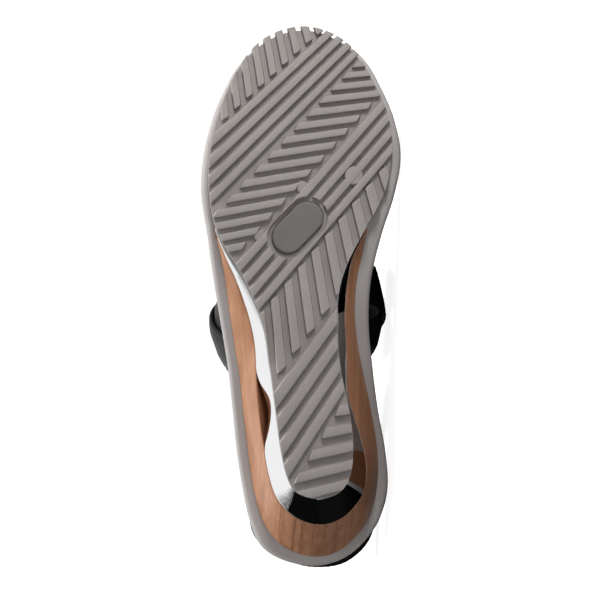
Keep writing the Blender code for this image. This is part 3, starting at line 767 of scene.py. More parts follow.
# %% [markdown]
# On the real sole a mould gives each rib sloping sides, so that the rubber lets go of it. Each rib here is
# five loops, one above the other: a bevel of two steps at the tread face, the sloping side, and the root,
# sunk in the plate. All ribs share one pattern of faces.

# %% The fields of ribs
Field = namedtuple("Field", "first_start first_end last_start last_end count ease face")
RIB_FIELDS = {
    "toe": Field((0.1800, -0.413), (0.059, -0.450), (0.0191, 0.0679), (-0.0334, 0.0256), 8, 1.0, 0.50),
    "toe_nub": Field((0.0235, 0.062), (-0.0205, 0.022), (0.0035, 0.122), (-0.0405, 0.082), 1, 1.0, 0.46),
    "toe_band": Field((0.221, -0.526), (-0.070, 0.350), (0.358, -0.526), (0.034, 0.350), 4, 1.0, 0.56),
    "ball": Field((0.064, 0.285), (0.055, 0.566), (0.444, -0.691), (0.415, -0.323), 15, 1.14, 0.54),
    "ball_band": Field((0.456, -0.400), (0.070, 0.551), (0.604, -0.400), (0.198, 0.551), 4, 1.0, 0.58),
    "waist": Field((0.5395, -0.240), (0.680, -0.211), (0.2475, 0.438), (0.327, 0.518), 10, 1.0, 0.53),
    "waist_band": Field((0.676, -0.175), (0.469, 0.250), (0.890, -0.175), (0.652, 0.250), 4, 1.0, 0.62),
    "heel": Field((0.681, 0.211), (0.680, 0.310), (0.885, -0.129), (0.844, 0.310), 5, 1.0, 0.48),
}
rib_slope = 0.0004
rib_setback = 0.0003
rib_softness = 0.00025
bevel_share = 0.29
rib_corner = 0.0007
rib_root = 0.0006
rib_bluntness = 0.35
rib_stations = 14


def field_corner(field, along, rib):
    """A point of a field: between its first and last rib by the rib's place, and along them by `along`."""
    place = max((rib - 0.5) / field.count, 0.0) ** field.ease
    first = np.array(field.first_start) * (1 - along) + np.array(field.first_end) * along
    last = np.array(field.last_start) * (1 - along) + np.array(field.last_end) * along
    at, side = first * (1 - place) + last * place
    return np.array([share_to_x(at), side * ball_width])


def rib_face(field, rib):
    """A rib's tread face as four corners. Its ends lie between the slanted border and square to the rib."""
    half = field.face / 2
    corners = [(0, rib - half), (1, rib - half), (1, rib + half), (0, rib + half)]
    corners = np.array([field_corner(field, along, place) for along, place in corners])
    ends = (corners + corners[::-1]) / 2
    axis = unit(ends[1] - ends[0])
    return corners - axis * ((corners - ends) @ axis)[:, None] * rib_bluntness


def widened(polygon, distance):
    """A convex polygon with each side moved out: each corner is where two moved sides meet."""
    start, end = polygon, np.roll(polygon, -1, axis=0)
    out = unit(np.column_stack([end[:, 1] - start[:, 1], start[:, 0] - end[:, 0]]))
    out *= np.sign(np.sum(out * (start - polygon.mean(axis=0)), axis=1))[:, None]
    reach = np.sum(out * start, axis=1) + distance
    sides = np.stack([np.roll(out, 1, axis=0), out], axis=1)
    return np.linalg.solve(sides, np.stack([np.roll(reach, 1), reach], axis=1)[..., None])[..., 0]


def rounded_bar(corners, radius):
    """A loop round a four-cornered face: at each corner a quadratic curve that starts and ends a radius
    away from it, and evenly spaced points along the two long sides."""
    start = corners + unit(np.roll(corners, 1, axis=0) - corners) * radius
    end = corners + unit(np.roll(corners, -1, axis=0) - corners) * radius
    t = np.linspace(0, 1, 4)[None, :, None]
    arcs = (1 - t) ** 2 * start[:, None] + 2 * t * (1 - t) * corners[:, None] + t**2 * end[:, None]
    t = np.linspace(0, 1, rib_stations + 1)[1:-1, None]
    one_side = arcs[0, -1] + (arcs[1, 0] - arcs[0, -1]) * t
    other_side = arcs[2, -1] + (arcs[3, 0] - arcs[2, -1]) * t
    return np.vstack([arcs[0], one_side, arcs[1], arcs[2], other_side, arcs[3]])


def rib_loops(field, rib):
    """Loops round a rib from its tread face down to its root, with soft edges and sloping sides."""
    face = rib_face(field, rib)
    bevel = bevel_share * rib_softness
    levels = [(-rib_softness, 0.0), (-bevel, bevel), (0.0, rib_softness),
              (rib_slope, rib_height), (rib_slope, rib_height + rib_root)]
    return [lifted(rounded_bar(widened(face, out), rib_corner), z) for out, z in levels]


all_ribs = [rib_loops(field, rib) for field in RIB_FIELDS.values() for rib in range(1, field.count + 1)]
ribs, levels, size = np.shape(all_ribs)[:3]
rib_faces = copies(solid_faces(levels, size), ribs, levels * size)
outsole_ribs = new_piece("outsole_ribs", all_ribs, rib_faces, tread_rubber)
print(ribs, "ribs")

# %% [markdown]
# The outline's wall cuts the bars off, and a round-ended clearing opens in the band across the ball, where
# a plain pad is let in. The same wall shape is used as a cutter, much taller than the ribs.

# %% Cutting the ribs to the outline
inlay_length = 0.0270
inlay_width = 0.0145
inlay_at = 0.368
inlay_side = -0.022
inlay_turn = math.radians(44)
clearing_margin = 0.0044
pocket_margin = 0.0006
pocket_depth = 0.0013
cutter_reach = 0.01


def capsule(margin, steps=24):
    """The inlay's outline, longer and wider by a margin: two half circles about its place, turned."""
    straight = (inlay_length - inlay_width) / 2
    radius = (inlay_width + margin) / 2
    angles = np.linspace(-math.pi / 2, math.pi / 2, steps)
    end = np.column_stack([straight + radius * np.cos(angles), radius * np.sin(angles)])
    loop = np.vstack([end, -end])
    cosine = math.cos(inlay_turn)
    sine = math.sin(inlay_turn)
    centre = np.array([share_to_x(inlay_at), inlay_side * ball_width])
    return loop @ np.array([[cosine, sine], [-sine, cosine]]) + centre


def wall(name, loop, high=cutter_reach):
    """A straight-sided cutter on a loop, from below the ribs up to a height."""
    mesh = bpy.data.meshes.new(name)
    count = len(loop)
    points = np.vstack([lifted(loop, -cutter_reach), lifted(loop, high)])
    ends = [list(range(count)), list(range(count, 2 * count))]
    mesh.from_pydata(points.tolist(), [], quads(2, count).tolist() + ends)
    face_outwards(mesh, merge=False)
    return add_object(name, mesh)


trim = inset(ring(SOLE, SOLE.toe_end, SOLE_STEPS), rib_setback)
cut(outsole_ribs, wall("trim", trim), "INTERSECT", own_overlaps=True)
cut(outsole_ribs, wall("clearing", capsule(clearing_margin)), "DIFFERENCE")
cut(outsole_plate, wall("pocket", capsule(pocket_margin), rib_height + pocket_depth), "DIFFERENCE")
print("the ribs have", len(outsole_ribs.data.polygons), "faces once they are cut")

# %% [markdown]
# The ribs were cut while the sole was flat. Now the toe curls up, by moving each point by the height of the
# curl at its x. Each point also stores how deep it lies between rib face and groove floor, which the rubber
# reads.

# %% Bending the toe and marking the depth
def mark_depth(piece, already_bent):
    """Curl the toe up, and store each point's depth: 0 at a rib's face and 1 on the groove's floor."""
    points = corners_of(piece)
    if not already_bent:
        points[:, 2] += spring(points[:, 0])
        move_corners(piece, points)
    depth = np.clip((points[:, 2] - spring(points[:, 0])) / rib_height, 0, 1)
    layer = piece.data.attributes.new("depth", "FLOAT", "POINT")
    layer.data.foreach_set("value", depth.astype(np.float32))


mark_depth(outsole_ribs, False)
mark_depth(outsole_plate, True)
lay_down(outsole_plate, ["outsole"], crease=30)
lay_down(outsole_ribs, crease=30)

# %% [markdown]
# The pad is smooth rubber, glued into its clearing half a millimetre behind the ribs' faces. It is one
# round-ended loop, inset and raised step by step, so that its rim is rounded and its face flat.

# %% The pad let into the sole
PAD_EDGE = [(0.0016, 0.00052), (0.0009, 0.00056), (0.0004, 0.0007), (0.0001, 0.001), (0.0, 0.0014)]
pad_root = 0.001
pad_loops = [lifted(capsule(-2 * inside), z) for inside, z in [*PAD_EDGE, (0.0, rib_height + pad_root)]]
sole_pad = layered("sole_pad", pad_loops, False, inlay_rubber)
lay_down(sole_pad, ["sole_inlay"], crease=40)

# %% [markdown]
# Three small round bosses interrupt the ribs. They are low discs with a soft edge, left plain.

# %% Round bosses
Boss = namedtuple("Boss", "at side radius top")
BOSSES = [
    Boss(0.2740, 0.2600, 0.0042, 0.0002),
    Boss(0.2950, 0.0000, 0.0027, 0.0006),
    Boss(0.3838, -0.2100, 0.0026, 0.0006),
]
BOSS_EDGE = [(0.0007, 0.0), (0.0003, 0.0001), (0.0, 0.0005)]
boss_flare = 0.0002
boss_root = 0.0005


def boss_loops(boss):
    """Circles from the boss's face to its root: the edge is rounded by stepping out as it goes down."""
    angle = np.linspace(0, 2 * math.pi, 40, endpoint=False)
    circle = np.column_stack([np.cos(angle), np.sin(angle)])
    centre = np.array([share_to_x(boss.at), boss.side * ball_width])
    steps = [(boss.radius - inside, boss.top + up) for inside, up in BOSS_EDGE]
    steps.append((boss.radius + boss_flare, rib_height + boss_root))
    return [lifted(centre + circle * radius, z) for radius, z in steps]


for i, boss in enumerate(BOSSES):
    disc = layered("boss_" + str(i), boss_loops(boss), False, tread_rubber)
    mark_depth(disc, False)
    lay_down(disc, crease=50)

# %% [markdown]
# The plated wedge is a wall between two outlines, a little full in its middle, with its edges rounded over
# so that they catch a line of light. On the lateral side its upper edge is scooped in, and the wood behind
# it shows.

# %% The plated wedge
def scallop_wave(loop):
    """The sine of the way along the scallop, on the lateral half of a loop, and 0 elsewhere."""
    along = np.clip((x_to_share(loop[:, 0]) - scallop_start) / (scallop_end - scallop_start), 0, 1)
    lateral = np.arange(len(loop)) <= len(loop) // 2
    return np.sin(math.pi * along) * lateral


def scalloped(loop, depth):
    """A loop scooped inwards on its lateral side, by the square of the scallop's wave."""
    moved = loop.copy()
    moved[:, 1] += depth * scallop_wave(loop) ** 2
    return moved


def flared(bottom, top, low, high, levels):
    """Loops between two outlines: each level is a share of the way up, a share outwards and an inset."""
    loops = []
    for up, out, inside in levels:
        flat = inset(bottom + (top - bottom) * out, inside)
        loops.append(lifted(flat, lambda x: low(x) + (high(x) - low(x)) * up))
    return loops


def wedge_floor(x):
    """The plated wedge's underside: level, one joint above the outsole."""
    return np.full(len(x), outsole_thickness + joint_gap)


WEDGE_STEPS = 220
PLATED_EDGE = [(0.0, 0.0006), (0.01, 0.0002), (0.04, 0.0)]
plated_fullness = 0.0004
sole_edge = ring(SOLE, wedge_front, WEDGE_STEPS)
plated_edge = scalloped(ring(SEAM, wedge_front, WEDGE_STEPS), scallop_depth)
plated_levels = [(t, t, inside) for t, inside in PLATED_EDGE]
plated_levels += [(t, t, -plated_fullness * math.sin(math.pi * t)) for t in np.linspace(0.1, 0.9, 15)]
plated_levels += [(1 - t, 1 - t, inside) for t, inside in reversed(PLATED_EDGE)]
plated_loops = flared(sole_edge, plated_edge, wedge_floor, plated_top, plated_levels)
plated_wedge = layered("chrome_wedge", plated_loops, False, plating)
lay_down(plated_wedge, ["plated_wedge"], crease=50)

# %% [markdown]
# The beech wedge flares from the same seam out to the platform. Its lower edge is only just broken with
# sandpaper, so it is a crisp line. Behind the scallop its underside is carved out in a deep groove.

# %% The beech wedge
groove_depth = 0.0110
groove_margin = 0.0014
groove_overhang = 0.0010
groove_power = 0.6
shelf_width = 0.003
wood_fullness = 0.0003
seam_edge = ring(SEAM, wedge_front, WEDGE_STEPS)
wood_edge = ring(WOOD, wedge_front, WEDGE_STEPS)


def groove_loops(loop):
    """Loops of the underside: flat, then down into a groove along the scallop.

    The groove's depth is the scallop's wave, flattened by a power, so it drops quickly at both ends."""
    wave = scallop_wave(loop)
    wide = (groove_margin + (scallop_depth + groove_overhang) * wave**2)[:, None]
    shelf = lifted(inset(loop, wide + shelf_width), wood_bottom)
    brink = lifted(inset(loop, wide), wood_bottom)
    return [shelf, brink, brink + np.outer(groove_depth * wave**groove_power, [0.0, 0.0, 1.0])]


wood_levels = [(0.0, 0.0, 0.0005), (0.008, 0.005, 0.00015), (0.025, 0.02, 0.0)]
wood_levels += [(t, t, -wood_fullness * math.sin(math.pi * t)) for t in np.linspace(0.1, 1.0, 12)]
wood_loops = groove_loops(seam_edge) + flared(seam_edge, wood_edge, wood_bottom, wood_top, wood_levels)
wood_wedge = layered("beech_wedge", wood_loops, False, beech)
lay_down(wood_wedge, ["wood_wedge"], crease=40)

# %% [markdown]
# The platform's rim is the widest part. Seen from below its underside is a smooth ring that rolls over into
# the side wall, so the profile is a quarter circle at each edge.

# %% The platform
edge_radius = 0.0022
underside_inset = 0.006
upper_inset = 0.007
PLATFORM_STEPS = 240
rim_loop = toe_tuck(ring(RIM, RIM.toe_end, PLATFORM_STEPS))
straight = platform_thickness - 2 * edge_radius
angles = np.linspace(0, math.pi / 2, 8)
quarter = [(edge_radius * (1 - math.sin(a)), edge_radius * (1 - math.cos(a))) for a in angles]
rim_profile = [(underside_inset, 0.0), *quarter]
rim_profile += [(platform_draft * t, edge_radius + straight * t) for t in (0.25, 0.5, 0.75)]
rim_profile += [(platform_draft + inside, platform_thickness - up) for up, inside in quarter]
rim_profile.append((upper_inset, platform_thickness))
platform_loops = [
    lifted(inset(rim_loop, inside), lambda x, up=up: platform_bottom(x) + up)
    for inside, up in rim_profile
]
platform = layered("foam_platform", platform_loops, True, foam_skin)
lay_down(platform, ["platform"], crease=50)

# %% [markdown]
# The footbed is a leather cover over a thin cushion, so it is crowned: each loop further in stands a little
# higher, and ever less so, until its middle is level.

# %% The footbed
FOOTBED_STEPS = 160
footbed_loop = inset(ring(RIM, RIM.toe_end, FOOTBED_STEPS), insole_inset)
FOOTBED_PROFILE = [
    (0.0, 0.0), (0.0, 0.0016), (0.0002, 0.0021), (0.0007, 0.0025), (0.0015, 0.00275), (0.003, 0.0029),
    (0.006, insole_thickness), (0.010, insole_thickness),
]
footbed_loops = [
    lifted(inset(footbed_loop, inside), lambda x, up=up: platform_top(x) + hair + up)
    for inside, up in FOOTBED_PROFILE
]
footbed = layered("footbed", footbed_loops, True, lining_leather)
lay_down(footbed, ["insole"], crease=50)

# %% [markdown]
# Each strap is a flat band of leather with rolled edges that follows a form, as the last does in the
# workshop. The band's cross-section is one closed loop, carried along the form: over its outside from edge
# to edge, and back on its inside. The edge is a half circle as deep as the leather.

# %% A band of leather
EDGE_STEPS = [0.0, 0.00008, 0.0003, 0.0007, 0.0012, 0.0017, 0.0021, 0.0026, 0.0034]
seam_inset = 0.0021
seam_width = 0.0004
seam_depth = 0.00025


def band_section(half_width, thickness, crown):
    """Places across a band and heights off its middle surface, for each half width given, as two arrays.

    The height is that of a half circle at the edge, then level, with a shallow trough for the seam."""
    half_width = np.asarray(half_width, float)[:, None]
    inner = np.linspace(0, 1, 7)[None, 1:4]
    left = np.hstack([-half_width + EDGE_STEPS, -(half_width - EDGE_STEPS[-1]) * (1 - inner)])
    place = np.hstack([left, -left[:, ::-1]])
    depth = half_width - np.abs(place)
    edge = thickness / 2
    height = edge * np.sqrt(np.clip(1 - (1 - np.clip(depth / edge, 0, 1)) ** 2, 0, 1))
    height = height - seam_depth * np.exp(-(((depth - seam_inset) / seam_width) ** 2))
    return place, height, crown * np.clip(1 - (place / half_width) ** 2, 0, 1)


def band(name, form, half_width, thickness, crown, finish, meet_platform=(True, True)):
    """A band on a form. form(place) gives points for places across, and outward directions, row by row."""
    place, height, raised = band_section(half_width, thickness, crown)
    centre, out = form(place)
    outside = centre + out * (height + raised)[..., None]
    inside = centre - out * (height - 0.5 * raised)[..., None]
    for row, meets in ((0, meet_platform[0]), (-1, meet_platform[1])):
        if meets:
            outside[row, :, 2] = platform_top(outside[row, :, 0]) + hair
            inside[row, :, 2] = platform_top(inside[row, :, 0]) + hair
    grid = np.concatenate([outside, inside[:, ::-1]], axis=1)
    return new_piece(name, grid, solid_faces(*grid.shape[:2]), finish)


# %% [markdown]
# Every strap has a seam along each edge. A row of stitches is one mesh of many small spindles, each drawn
# to a tip at both ends, and all of them share one pattern of faces.

# %% Seams
stitch_length = 0.0023
stitch_spacing = 0.0030
thread_radius = 0.00030
thread_tip = 0.00002
short_step = 1e-4
STITCH_RINGS = 7
RING_POINTS = 8
SEAM_STEPS = 400
seam_margin = 0.02


def stitches(name, points, out, length=stitch_length, spacing=stitch_spacing):
    """A row of stitches along a line of points: each is a small spindle that lies along it, half sunk."""
    lengths = lengths_along(points)
    where = np.arange(spacing, lengths[-1] - spacing, spacing)
    centre = between(where, lengths, points)
    along = unit(between(where + short_step, lengths, points) - centre)
    up = square_to(between(where, lengths, out), along)
    t = np.linspace(-1, 1, STITCH_RINGS)[:, None]
    girth = thread_radius * np.sqrt(np.clip(1 - np.abs(t) ** 3, 0, 1)) + thread_tip
    angle = np.linspace(0, 2 * math.pi, RING_POINTS, endpoint=False)
    axes = np.stack([along, up, np.cross(along, up)], axis=1)
    shape = np.stack([t * length / 2 + 0 * angle, girth * np.sin(angle), girth * np.cos(angle)], axis=-1)
    grid = centre[:, None, None, :] + np.einsum("ija,nak->nijk", shape, axes)
    faces = copies(solid_faces(STITCH_RINGS, RING_POINTS), len(where), STITCH_RINGS * RING_POINTS)
    lay_down(new_piece(name, grid, faces, seam_thread), crease=60)


def sew_edges(name, form, half_width, sides):
    """A seam along each edge of a strap, in the trough, with its thread half sunk in the leather."""
    for side, sign in zip(sides, (-1, 1)):
        seam, out = form(sign * (half_width - seam_inset)[:, None])
        seam = seam + out * (strap_thickness / 2 - hair)
        stitches(name + "_" + side + "_seam", seam[:, 0], out[:, 0])


print("stitches every", stitch_spacing, "m, each of", STITCH_RINGS * RING_POINTS, "points")

# %% [markdown]
# A shoemaker pulls the straps over a last, a wooden foot. The instep form is that last as a formula: two
# parameters, the place along the foot and the way over it, give a point. A strap is then only a line on it
# and a width. The two lie a little less than a leather's thickness apart, pressed together where one passes
# over the other.

# %% The instep form and the crossed straps
leather_fullness = 0.0032
medial_fullest_at = 0.545
medial_reach_to_toe = 0.145
medial_reach_to_heel = 0.0895
lateral_fullest_at = 0.560
lateral_reach = 0.078


def parabola(at, middle, reach):
    """1 at the middle and 0 from the reach outwards: one less the squared share of the reach."""
    return np.clip(1 - ((at - middle) / reach) ** 2, 0, 1)


def instep(at, along):
    """A point of the instep: along runs from 0 at the medial edge of the platform to 1 at the lateral.

    Below the bulge the side is a parabola, and above it half an ellipse. The bulge is itself a parabola
    along the foot, fullest between the straps. On the medial side it is two half parabolas, the long one
    towards the toe."""
    x = share_to_x(at)
    medial_foot = edge_of(RIM, at, "medial") - platform_draft - strap_foot_inset
    lateral_foot = edge_of(RIM, at, "lateral") + platform_draft + strap_foot_inset
    medial_reach = np.where(at < medial_fullest_at, medial_reach_to_toe, medial_reach_to_heel)
    medial_out = (medial_bulge + leather_fullness) * parabola(at, medial_fullest_at, medial_reach)
    lateral_out = lateral_bulge * parabola(at, lateral_fullest_at, lateral_reach)
    medial = medial_foot + medial_out
    lateral = lateral_foot - lateral_out
    low_medial = np.clip(along / foot_share, 0, 1)
    low_lateral = np.clip((1 - along) / foot_share, 0, 1)
    over = math.pi * np.clip((along - foot_share) / (1 - 2 * foot_share), 0, 1)
    y = (medial + lateral) / 2 + (medial - lateral) / 2 * np.cos(over)
    y = y - medial_out * (1 - low_medial) ** 2 + lateral_out * (1 - low_lateral) ** 2
    z = bulge_height * np.minimum(low_medial, low_lateral) + (instep_height - bulge_height) * np.sin(over)
    return np.stack([x, y, z + platform_top(x) + joint_gap], axis=-1)


def square_off(form, u, v, step=1e-3):
    """The outward direction of a form: the cross product of its slopes in its two parameters."""
    du = form(u + step, v) - form(u - step, v)
    dv = form(u, np.clip(v + step, 0, 1)) - form(u, np.clip(v - step, 0, 1))
    return unit(np.cross(dv, du))


Strap = namedtuple("Strap", "medial_foot lateral_foot layer")
CROSS_STRAPS = [Strap(0.470, 0.598, -0.5), Strap(0.571, 0.533, 0.5)]
STRAP_ROWS = 120
strap_crown = 0.0004


def strap_half_width(along):
    """Half the strap's width: narrow at its feet, swelling by an eased sine to full width over the instep."""
    swell = ease_in_out(np.sin(math.pi * along) * swell_rate)
    return (strap_foot_width + (strap_width - strap_foot_width) * swell) / 2


def strap_form(strap, along):
    """Points and outward directions of one strap, whose middle runs evenly from foot to foot on the form."""
    middle = strap.medial_foot + (strap.lateral_foot - strap.medial_foot) * along

    def form(place):
        """A place across the strap moves along the foot. The strap's layer lifts it off the form."""
        at = middle[:, None] + place / foot_length
        way = np.broadcast_to(along[:, None], at.shape)
        out = square_off(instep, at, way)
        return instep(at, way) + out * strap.layer * cross_rise * strap_thickness, out

    return form


along = np.linspace(0, 1, STRAP_ROWS + 1)
sewn = np.linspace(seam_margin, 1 - seam_margin, SEAM_STEPS)
for name, strap in zip(("under_strap", "over_strap"), CROSS_STRAPS):
    form = strap_form(strap, along)
    piece = band(name, form, strap_half_width(along), strap_thickness, strap_crown, strap_leather)
    lay_down(piece, ["cross_straps"] if name == "under_strap" else [], crease=60)
    sew_edges(name, strap_form(strap, sewn), strap_half_width(sewn), ("toe", "heel"))

# %% [markdown]
# The footbed's cover is sewn down all round, 4 mm in from its edge. The row follows the footbed's own loop.

# %% Stitches of the footbed
footbed_seam_inset = 0.0042
sewn_loop = inset(footbed_loop, footbed_seam_inset)
sewn_loop = np.vstack([sewn_loop, sewn_loop[:1]])
seam = lifted(sewn_loop, lambda x: platform_top(x) + insole_thickness)
upright = np.tile([0.0, 0.0, 1.0], (len(seam), 1))
stitches("footbed_seam", seam, upright, length=0.0026, spacing=0.0036)

# %% [markdown]
# The heel strap is a band round a line in space. It leaves the medial side of the platform, passes behind
# the heel and comes back on the lateral side, where a stretch of it is woven elastic.

# %% The heel strap
Bend = namedtuple("Bend", "at side lift")
HEEL_LOOP = [
    Bend(0.698, 0.370, 0.00),
    Bend(0.699, 0.398, 0.22),
    Bend(0.716, 0.424, 0.48),
    Bend(0.762, 0.446, 0.75),
    Bend(0.835, 0.456, 0.94),
    Bend(0.905, 0.448, 1.00),
    Bend(0.964, 0.398, 1.02),
    Bend(1.001, 0.278, 1.03),
    Bend(1.008, 0.115, 1.03),
    Bend(0.989, -0.052, 1.03),
    Bend(0.957, -0.172, 1.02),
    Bend(0.905, -0.203, 1.00),
    Bend(0.835, -0.212, 0.94),
    Bend(0.762, -0.240, 0.75),
    Bend(0.716, -0.266, 0.48),
    Bend(0.699, -0.284, 0.22),
    Bend(0.698, -0.300, 0.00),
]
elastic_start = 0.60
elastic_end = 0.73
elastic_overlap = 0.010
elastic_thickness = 0.0014
seam_to_elastic = 0.012
heel_strap_crown = 0.0003
heel_strap_rows = 220
LINE_STEPS = 1200
heel_middle = 0.80
straight_side = 0.05
round_back = 0.40


def heel_loop():
    """The strap's middle line as fine points, with the share of its length at each."""
    rows = np.array(HEEL_LOOP)
    x = share_to_x(rows[:, 0])
    y = rows[:, 1] * ball_width
    y[0] = edge_of(RIM, rows[0, 0], "medial") - platform_draft - strap_foot_inset
    y[-1] = edge_of(RIM, rows[-1, 0], "lateral") + platform_draft + strap_foot_inset
    points = np.column_stack([x, y, platform_top(x) + joint_gap + rows[:, 2] * heel_strap_height])
    lengths = lengths_along(points)
    where = np.linspace(0, lengths[-1], LINE_STEPS)
    fine = np.column_stack([smooth_curve(lengths, points[:, i], where) for i in range(3)])
    lengths = lengths_along(fine)
    return fine, lengths / lengths[-1], lengths[-1]


fine_line, fine_share, heel_strap_length = heel_loop()
print("heel strap length", round(heel_strap_length, 4))


def heel_form(where):
    """Points and outward directions of the heel strap at shares of its length, for places across it.

    Outwards is away from an upright axis in the heel, with less of it along X, and square to the line."""
    centre = between(where, fine_share, fine_line)
    along = unit(between(where, fine_share, np.gradient(fine_line, fine_share, axis=0)))
    out = centre - np.array([share_to_x(heel_middle), RIM.heel_side * ball_width, 0.0])
    out[:, 2] = 0.0
    out[:, 0] *= np.where(out[:, 0] > 0, straight_side, round_back)
    out = square_to(out, along)
    up = np.cross(along, out)

    def form(place):
        """A place across the strap moves square to its middle line and to the outward direction."""
        points = centre[:, None, :] + up[:, None, :] * place[..., None]
        return points, np.broadcast_to(out[:, None, :], points.shape)

    return form


def heel_piece(name, start, end, thickness, finish, meets):
    """A stretch of the heel strap between two shares of its length, with a row every millimetre or so."""
    where = np.linspace(start, end, round((end - start) * heel_strap_rows))
    half = np.full(len(where), heel_strap_width / 2)
    return band(name, heel_form(where), half, thickness, heel_strap_crown, finish, meets)


strap = heel_piece("heel_strap_leather", 0.0, elastic_start, strap_thickness, strap_leather, (True, False))
lay_down(strap, ["heel_strap"], crease=60)
tab = heel_piece("heel_strap_end", elastic_end, 1.0, strap_thickness, strap_leather, (False, True))
lay_down(tab, ["heel_strap_tab"], crease=60)
tucked_start = elastic_start - elastic_overlap
tucked_end = elastic_end + elastic_overlap
gore = heel_piece("elastic", tucked_start, tucked_end, elastic_thickness, woven_elastic, (False, False))
points = corners_of(gore)
nearest = np.argmin(np.linalg.norm(points[:, None, :] - fine_line[None, ::4, :], axis=2), axis=1) * 4
lie = np.column_stack([fine_share[nearest] * heel_strap_length, points[:, 2], np.zeros(len(points))])
weave = gore.data.attributes.new("weave", "FLOAT_VECTOR", "POINT")
weave.data.foreach_set("vector", lie.astype(np.float32).ravel())
lay_down(gore, ["elastic_gore"], crease=60)

half = np.full(SEAM_STEPS, heel_strap_width / 2)
sewn = np.linspace(seam_margin, elastic_start - seam_to_elastic, SEAM_STEPS)
sew_edges("heel_strap", heel_form(sewn), half, ("low", "high"))
sewn = np.linspace(elastic_end + seam_to_elastic, 1 - seam_margin, SEAM_STEPS)
sew_edges("heel_strap_end", heel_form(sewn), half, ("low", "high"))

# %% [markdown]
# The sandal is photographed from straight below, so the camera looks at its sole, with the toe up. It
# stands 3.6 degrees to the lateral side of square, at a distance of 1.5 m through a long lens.

# %% Camera
camera_distance = 1.5
camera_tilt = math.radians(3.6)
aim = laid([0.0, -0.001, 0.0])
toward = turned([0.0, -math.sin(camera_tilt), -math.cos(camera_tilt)])
toe = turned([1.0, 0.0, 0.0])
toe = unit(toe - toward * (toe @ toward))
right = np.cross(toe, toward)

lens = bpy.data.cameras.new("camera")
lens.sensor_width = 36
lens.lens = 200
camera = add_object("camera", lens)
placed = np.eye(4)
placed[:3] = np.column_stack([right, toe, toward, aim + toward * camera_distance])
camera.matrix_world = Matrix(placed.tolist())
bpy.context.scene.camera = camera
print("camera at", placed[:3, 3].round(3))

# %% [markdown]
# The light is that of a studio tent: pale all round, with the main light above the toe, so that the
# heelward side of each rib is in shade. A mirror shows whatever stands round it, so the tent has its own
# brightness for mirror rays: white above and behind the sandal, and greyer towards the floor and the
# camera.

# %% Light
def light_place(up, side, out, distance):
    """A light's place: so much up to the toe, to the right and out to the camera, at a distance."""
    return aim + unit(toe * up + right * side + toward * out) * distance


def face_sandal(thing, location):
    """Place a lamp and turn its face to the sandal: a lamp shines along -Z, so its Z axis points away."""
    thing.location = location
    thing.rotation_mode = "QUATERNION"
    thing.rotation_quaternion = Vector(location - aim).to_track_quat("Z", "Y")


def area_light(name, location, size, power):
    """A square soft light, in metres and watts. The plating doesn't show it."""
    lamp = bpy.data.lights.new(name, "AREA")
    lamp.shape = "SQUARE"
    lamp.size = size
    lamp.energy = power
    made = add_object(name, lamp)
    face_sandal(made, location)
    made.visible_glossy = False
    print(name, "at", location.round(3), power, "W")


area_light("main_light", light_place(0.80, 0.04, 0.62, 0.74), 0.14, 3.60)
area_light("side_light", light_place(-0.02, -1.0, 0.04, 1.30), 0.8, 19.5)
area_light("front_light", light_place(0.35, -0.10, 1.0, 2.0), 1.0, 2.5)
bpy.context.scene.view_settings.view_transform = "Standard"

bright_side = (0.0, 0.79, 0.61)
world = bpy.data.worlds.new("tent")
bpy.context.scene.world = world
world.use_nodes = True
tree = world.node_tree
tent = tree.nodes["Background"]
tent.inputs["Color"].default_value = (1.0, 1.0, 1.0, 1.0)
tent.inputs["Strength"].default_value = 0.16
bright = add_node(tree, "ShaderNodeBackground", Color=(1.0, 1.0, 1.0, 1.0))
seen = tree.nodes.new("ShaderNodeLightPath")
direction = tree.nodes.new("ShaderNodeTexCoord").outputs["Generated"]
facing = add_node(tree, "ShaderNodeVectorMath", Vector=direction)
facing.operation = "DOT_PRODUCT"
facing.inputs[1].default_value = bright_side
glare = ramp(tree, facing.outputs["Value"], [(0.0, grey(0.16)), (0.25, grey(0.55)), (0.5, grey(1.0))])
feed(tree, bright.inputs["Strength"], calc(tree, "MAXIMUM", glare, seen.outputs["Is Camera Ray"]))
mirrored = calc(tree, "MAXIMUM", seen.outputs["Is Camera Ray"], seen.outputs["Is Glossy Ray"])
feed(tree, tree.nodes["World Output"].inputs["Surface"], mix_shaders(tree, mirrored, tent, bright))
print("the tent is brightest towards", bright_side)

# %% [markdown]
# The floor is pale, and glows a little for the camera alone, as a lit sweep of paper does. Round the sandal
# stand the cards that paint the plating's reflections: black behind the heel and on the floor there, one torn
# between black and white above it, which glows as a painted reflection, one brown as a painted reflection of
# wood, and a black one beside the waist. The camera, shadows and plain light pass through them, so that only
# mirrors see them.

# %% Floor and cards
def flat_sheet(name, low, high, finish):
    """A level or upright rectangle between two opposite corners, with one material."""
    low = np.array(low, float)
    high = np.array(high, float)
    across = (high - low) * (np.arange(3) == np.argmax(high != low))
    mesh = bpy.data.meshes.new(name)
    mesh.from_pydata([tuple(c) for c in (low, low + across, high, high - across)], [], [(0, 1, 2, 3)])
    mesh.materials.append(finish)
    made = add_object(name, mesh)
    return made


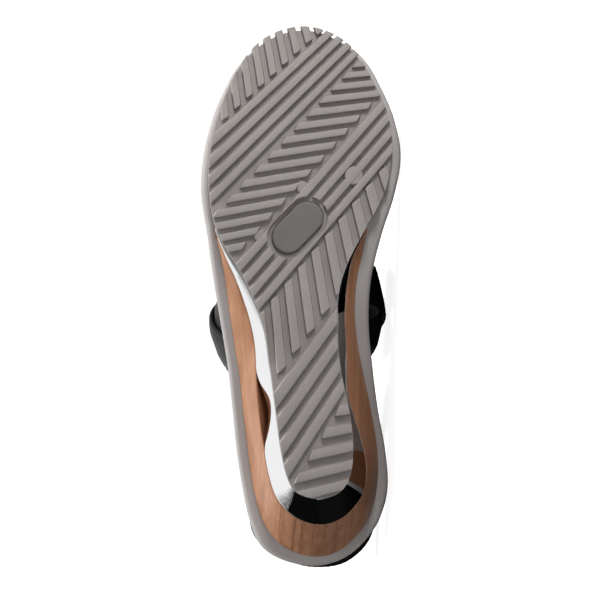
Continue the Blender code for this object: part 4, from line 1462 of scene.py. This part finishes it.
pale, tree, shader, place = new_finish("pale floor", grey(0.60), 0.9)
glow = add_node(tree, "ShaderNodeEmission", Color=(1.0, 1.0, 1.0, 1.0), Strength=0.87)
both = tree.nodes.new("ShaderNodeAddShader")
tree.links.new(shader.outputs[0], both.inputs[0])
tree.links.new(glow.outputs[0], both.inputs[1])
quiet = add_node(tree, "ShaderNodeBsdfDiffuse", Color=(0.42, 0.42, 0.42, 1.0))
camera_ray = tree.nodes.new("ShaderNodeLightPath").outputs["Is Camera Ray"]
feed(tree, tree.nodes["Material Output"].inputs["Surface"], mix_shaders(tree, camera_ray, quiet, both))
flat_sheet("floor", (-4, -4, 0), (4, 12, 0), pale)

black, tree, shader, place = new_finish("black card", grey(0.004), 0.9)
shader.inputs["Specular IOR Level"].default_value = 0.0
warm, tree, shader, place = new_finish("warm brown card", (0.30, 0.14, 0.07), 0.9)
mottled, tree, shader, place = new_finish("mottled card", grey(0.4), 0.9)
height = add_node(tree, "ShaderNodeSeparateXYZ", Vector=place).outputs["Z"]
upwards = calc(tree, "MULTIPLY", rescaled(tree, height, 0.52, 1.25), 0.9)
torn = calc(tree, "ADD", calc(tree, "MULTIPLY", noise(tree, place, 16.0, 5.0, 0.7), 0.9), upwards)
shade = ramp(tree, torn, [(0.40, grey(0.02)), (0.75, grey(0.45)), (1.0, grey(1.0))])
# The mottled card glows: a painted reflection, which only mirror rays see.
lit_card = add_node(tree, "ShaderNodeEmission", Color=shade, Strength=1.0)
tree.links.new(lit_card.outputs[0], tree.nodes["Material Output"].inputs["Surface"])
CARDS = {
    "mottled_card": ((-0.75, -0.5, 0.52), (-0.75, 0.9, 1.30), mottled),
    "heel_card": ((-0.75, -0.5, 0.001), (-0.75, 0.9, 0.52), black),
    "heel_floor_card": ((-1.2, -0.08, 0.001), (-0.092, 0.8, 0.001), black),
    "warm_card": ((-0.088, -0.06, 0.001), (-0.066, 0.3, 0.001), warm),
    "waist_card": ((-0.004, -0.06, 0.001), (0.055, 0.3, 0.001), black),
}
for name, (low, high, finish) in CARDS.items():
    card = flat_sheet(name, low, high, finish)
    card.visible_camera = False
    card.visible_shadow = False
    card.visible_diffuse = False
print("cards:", list(CARDS))

# %% [markdown]
# Last, the view layer is brought up to date.

# %% Bringing the scene up to date
bpy.context.view_layer.update()
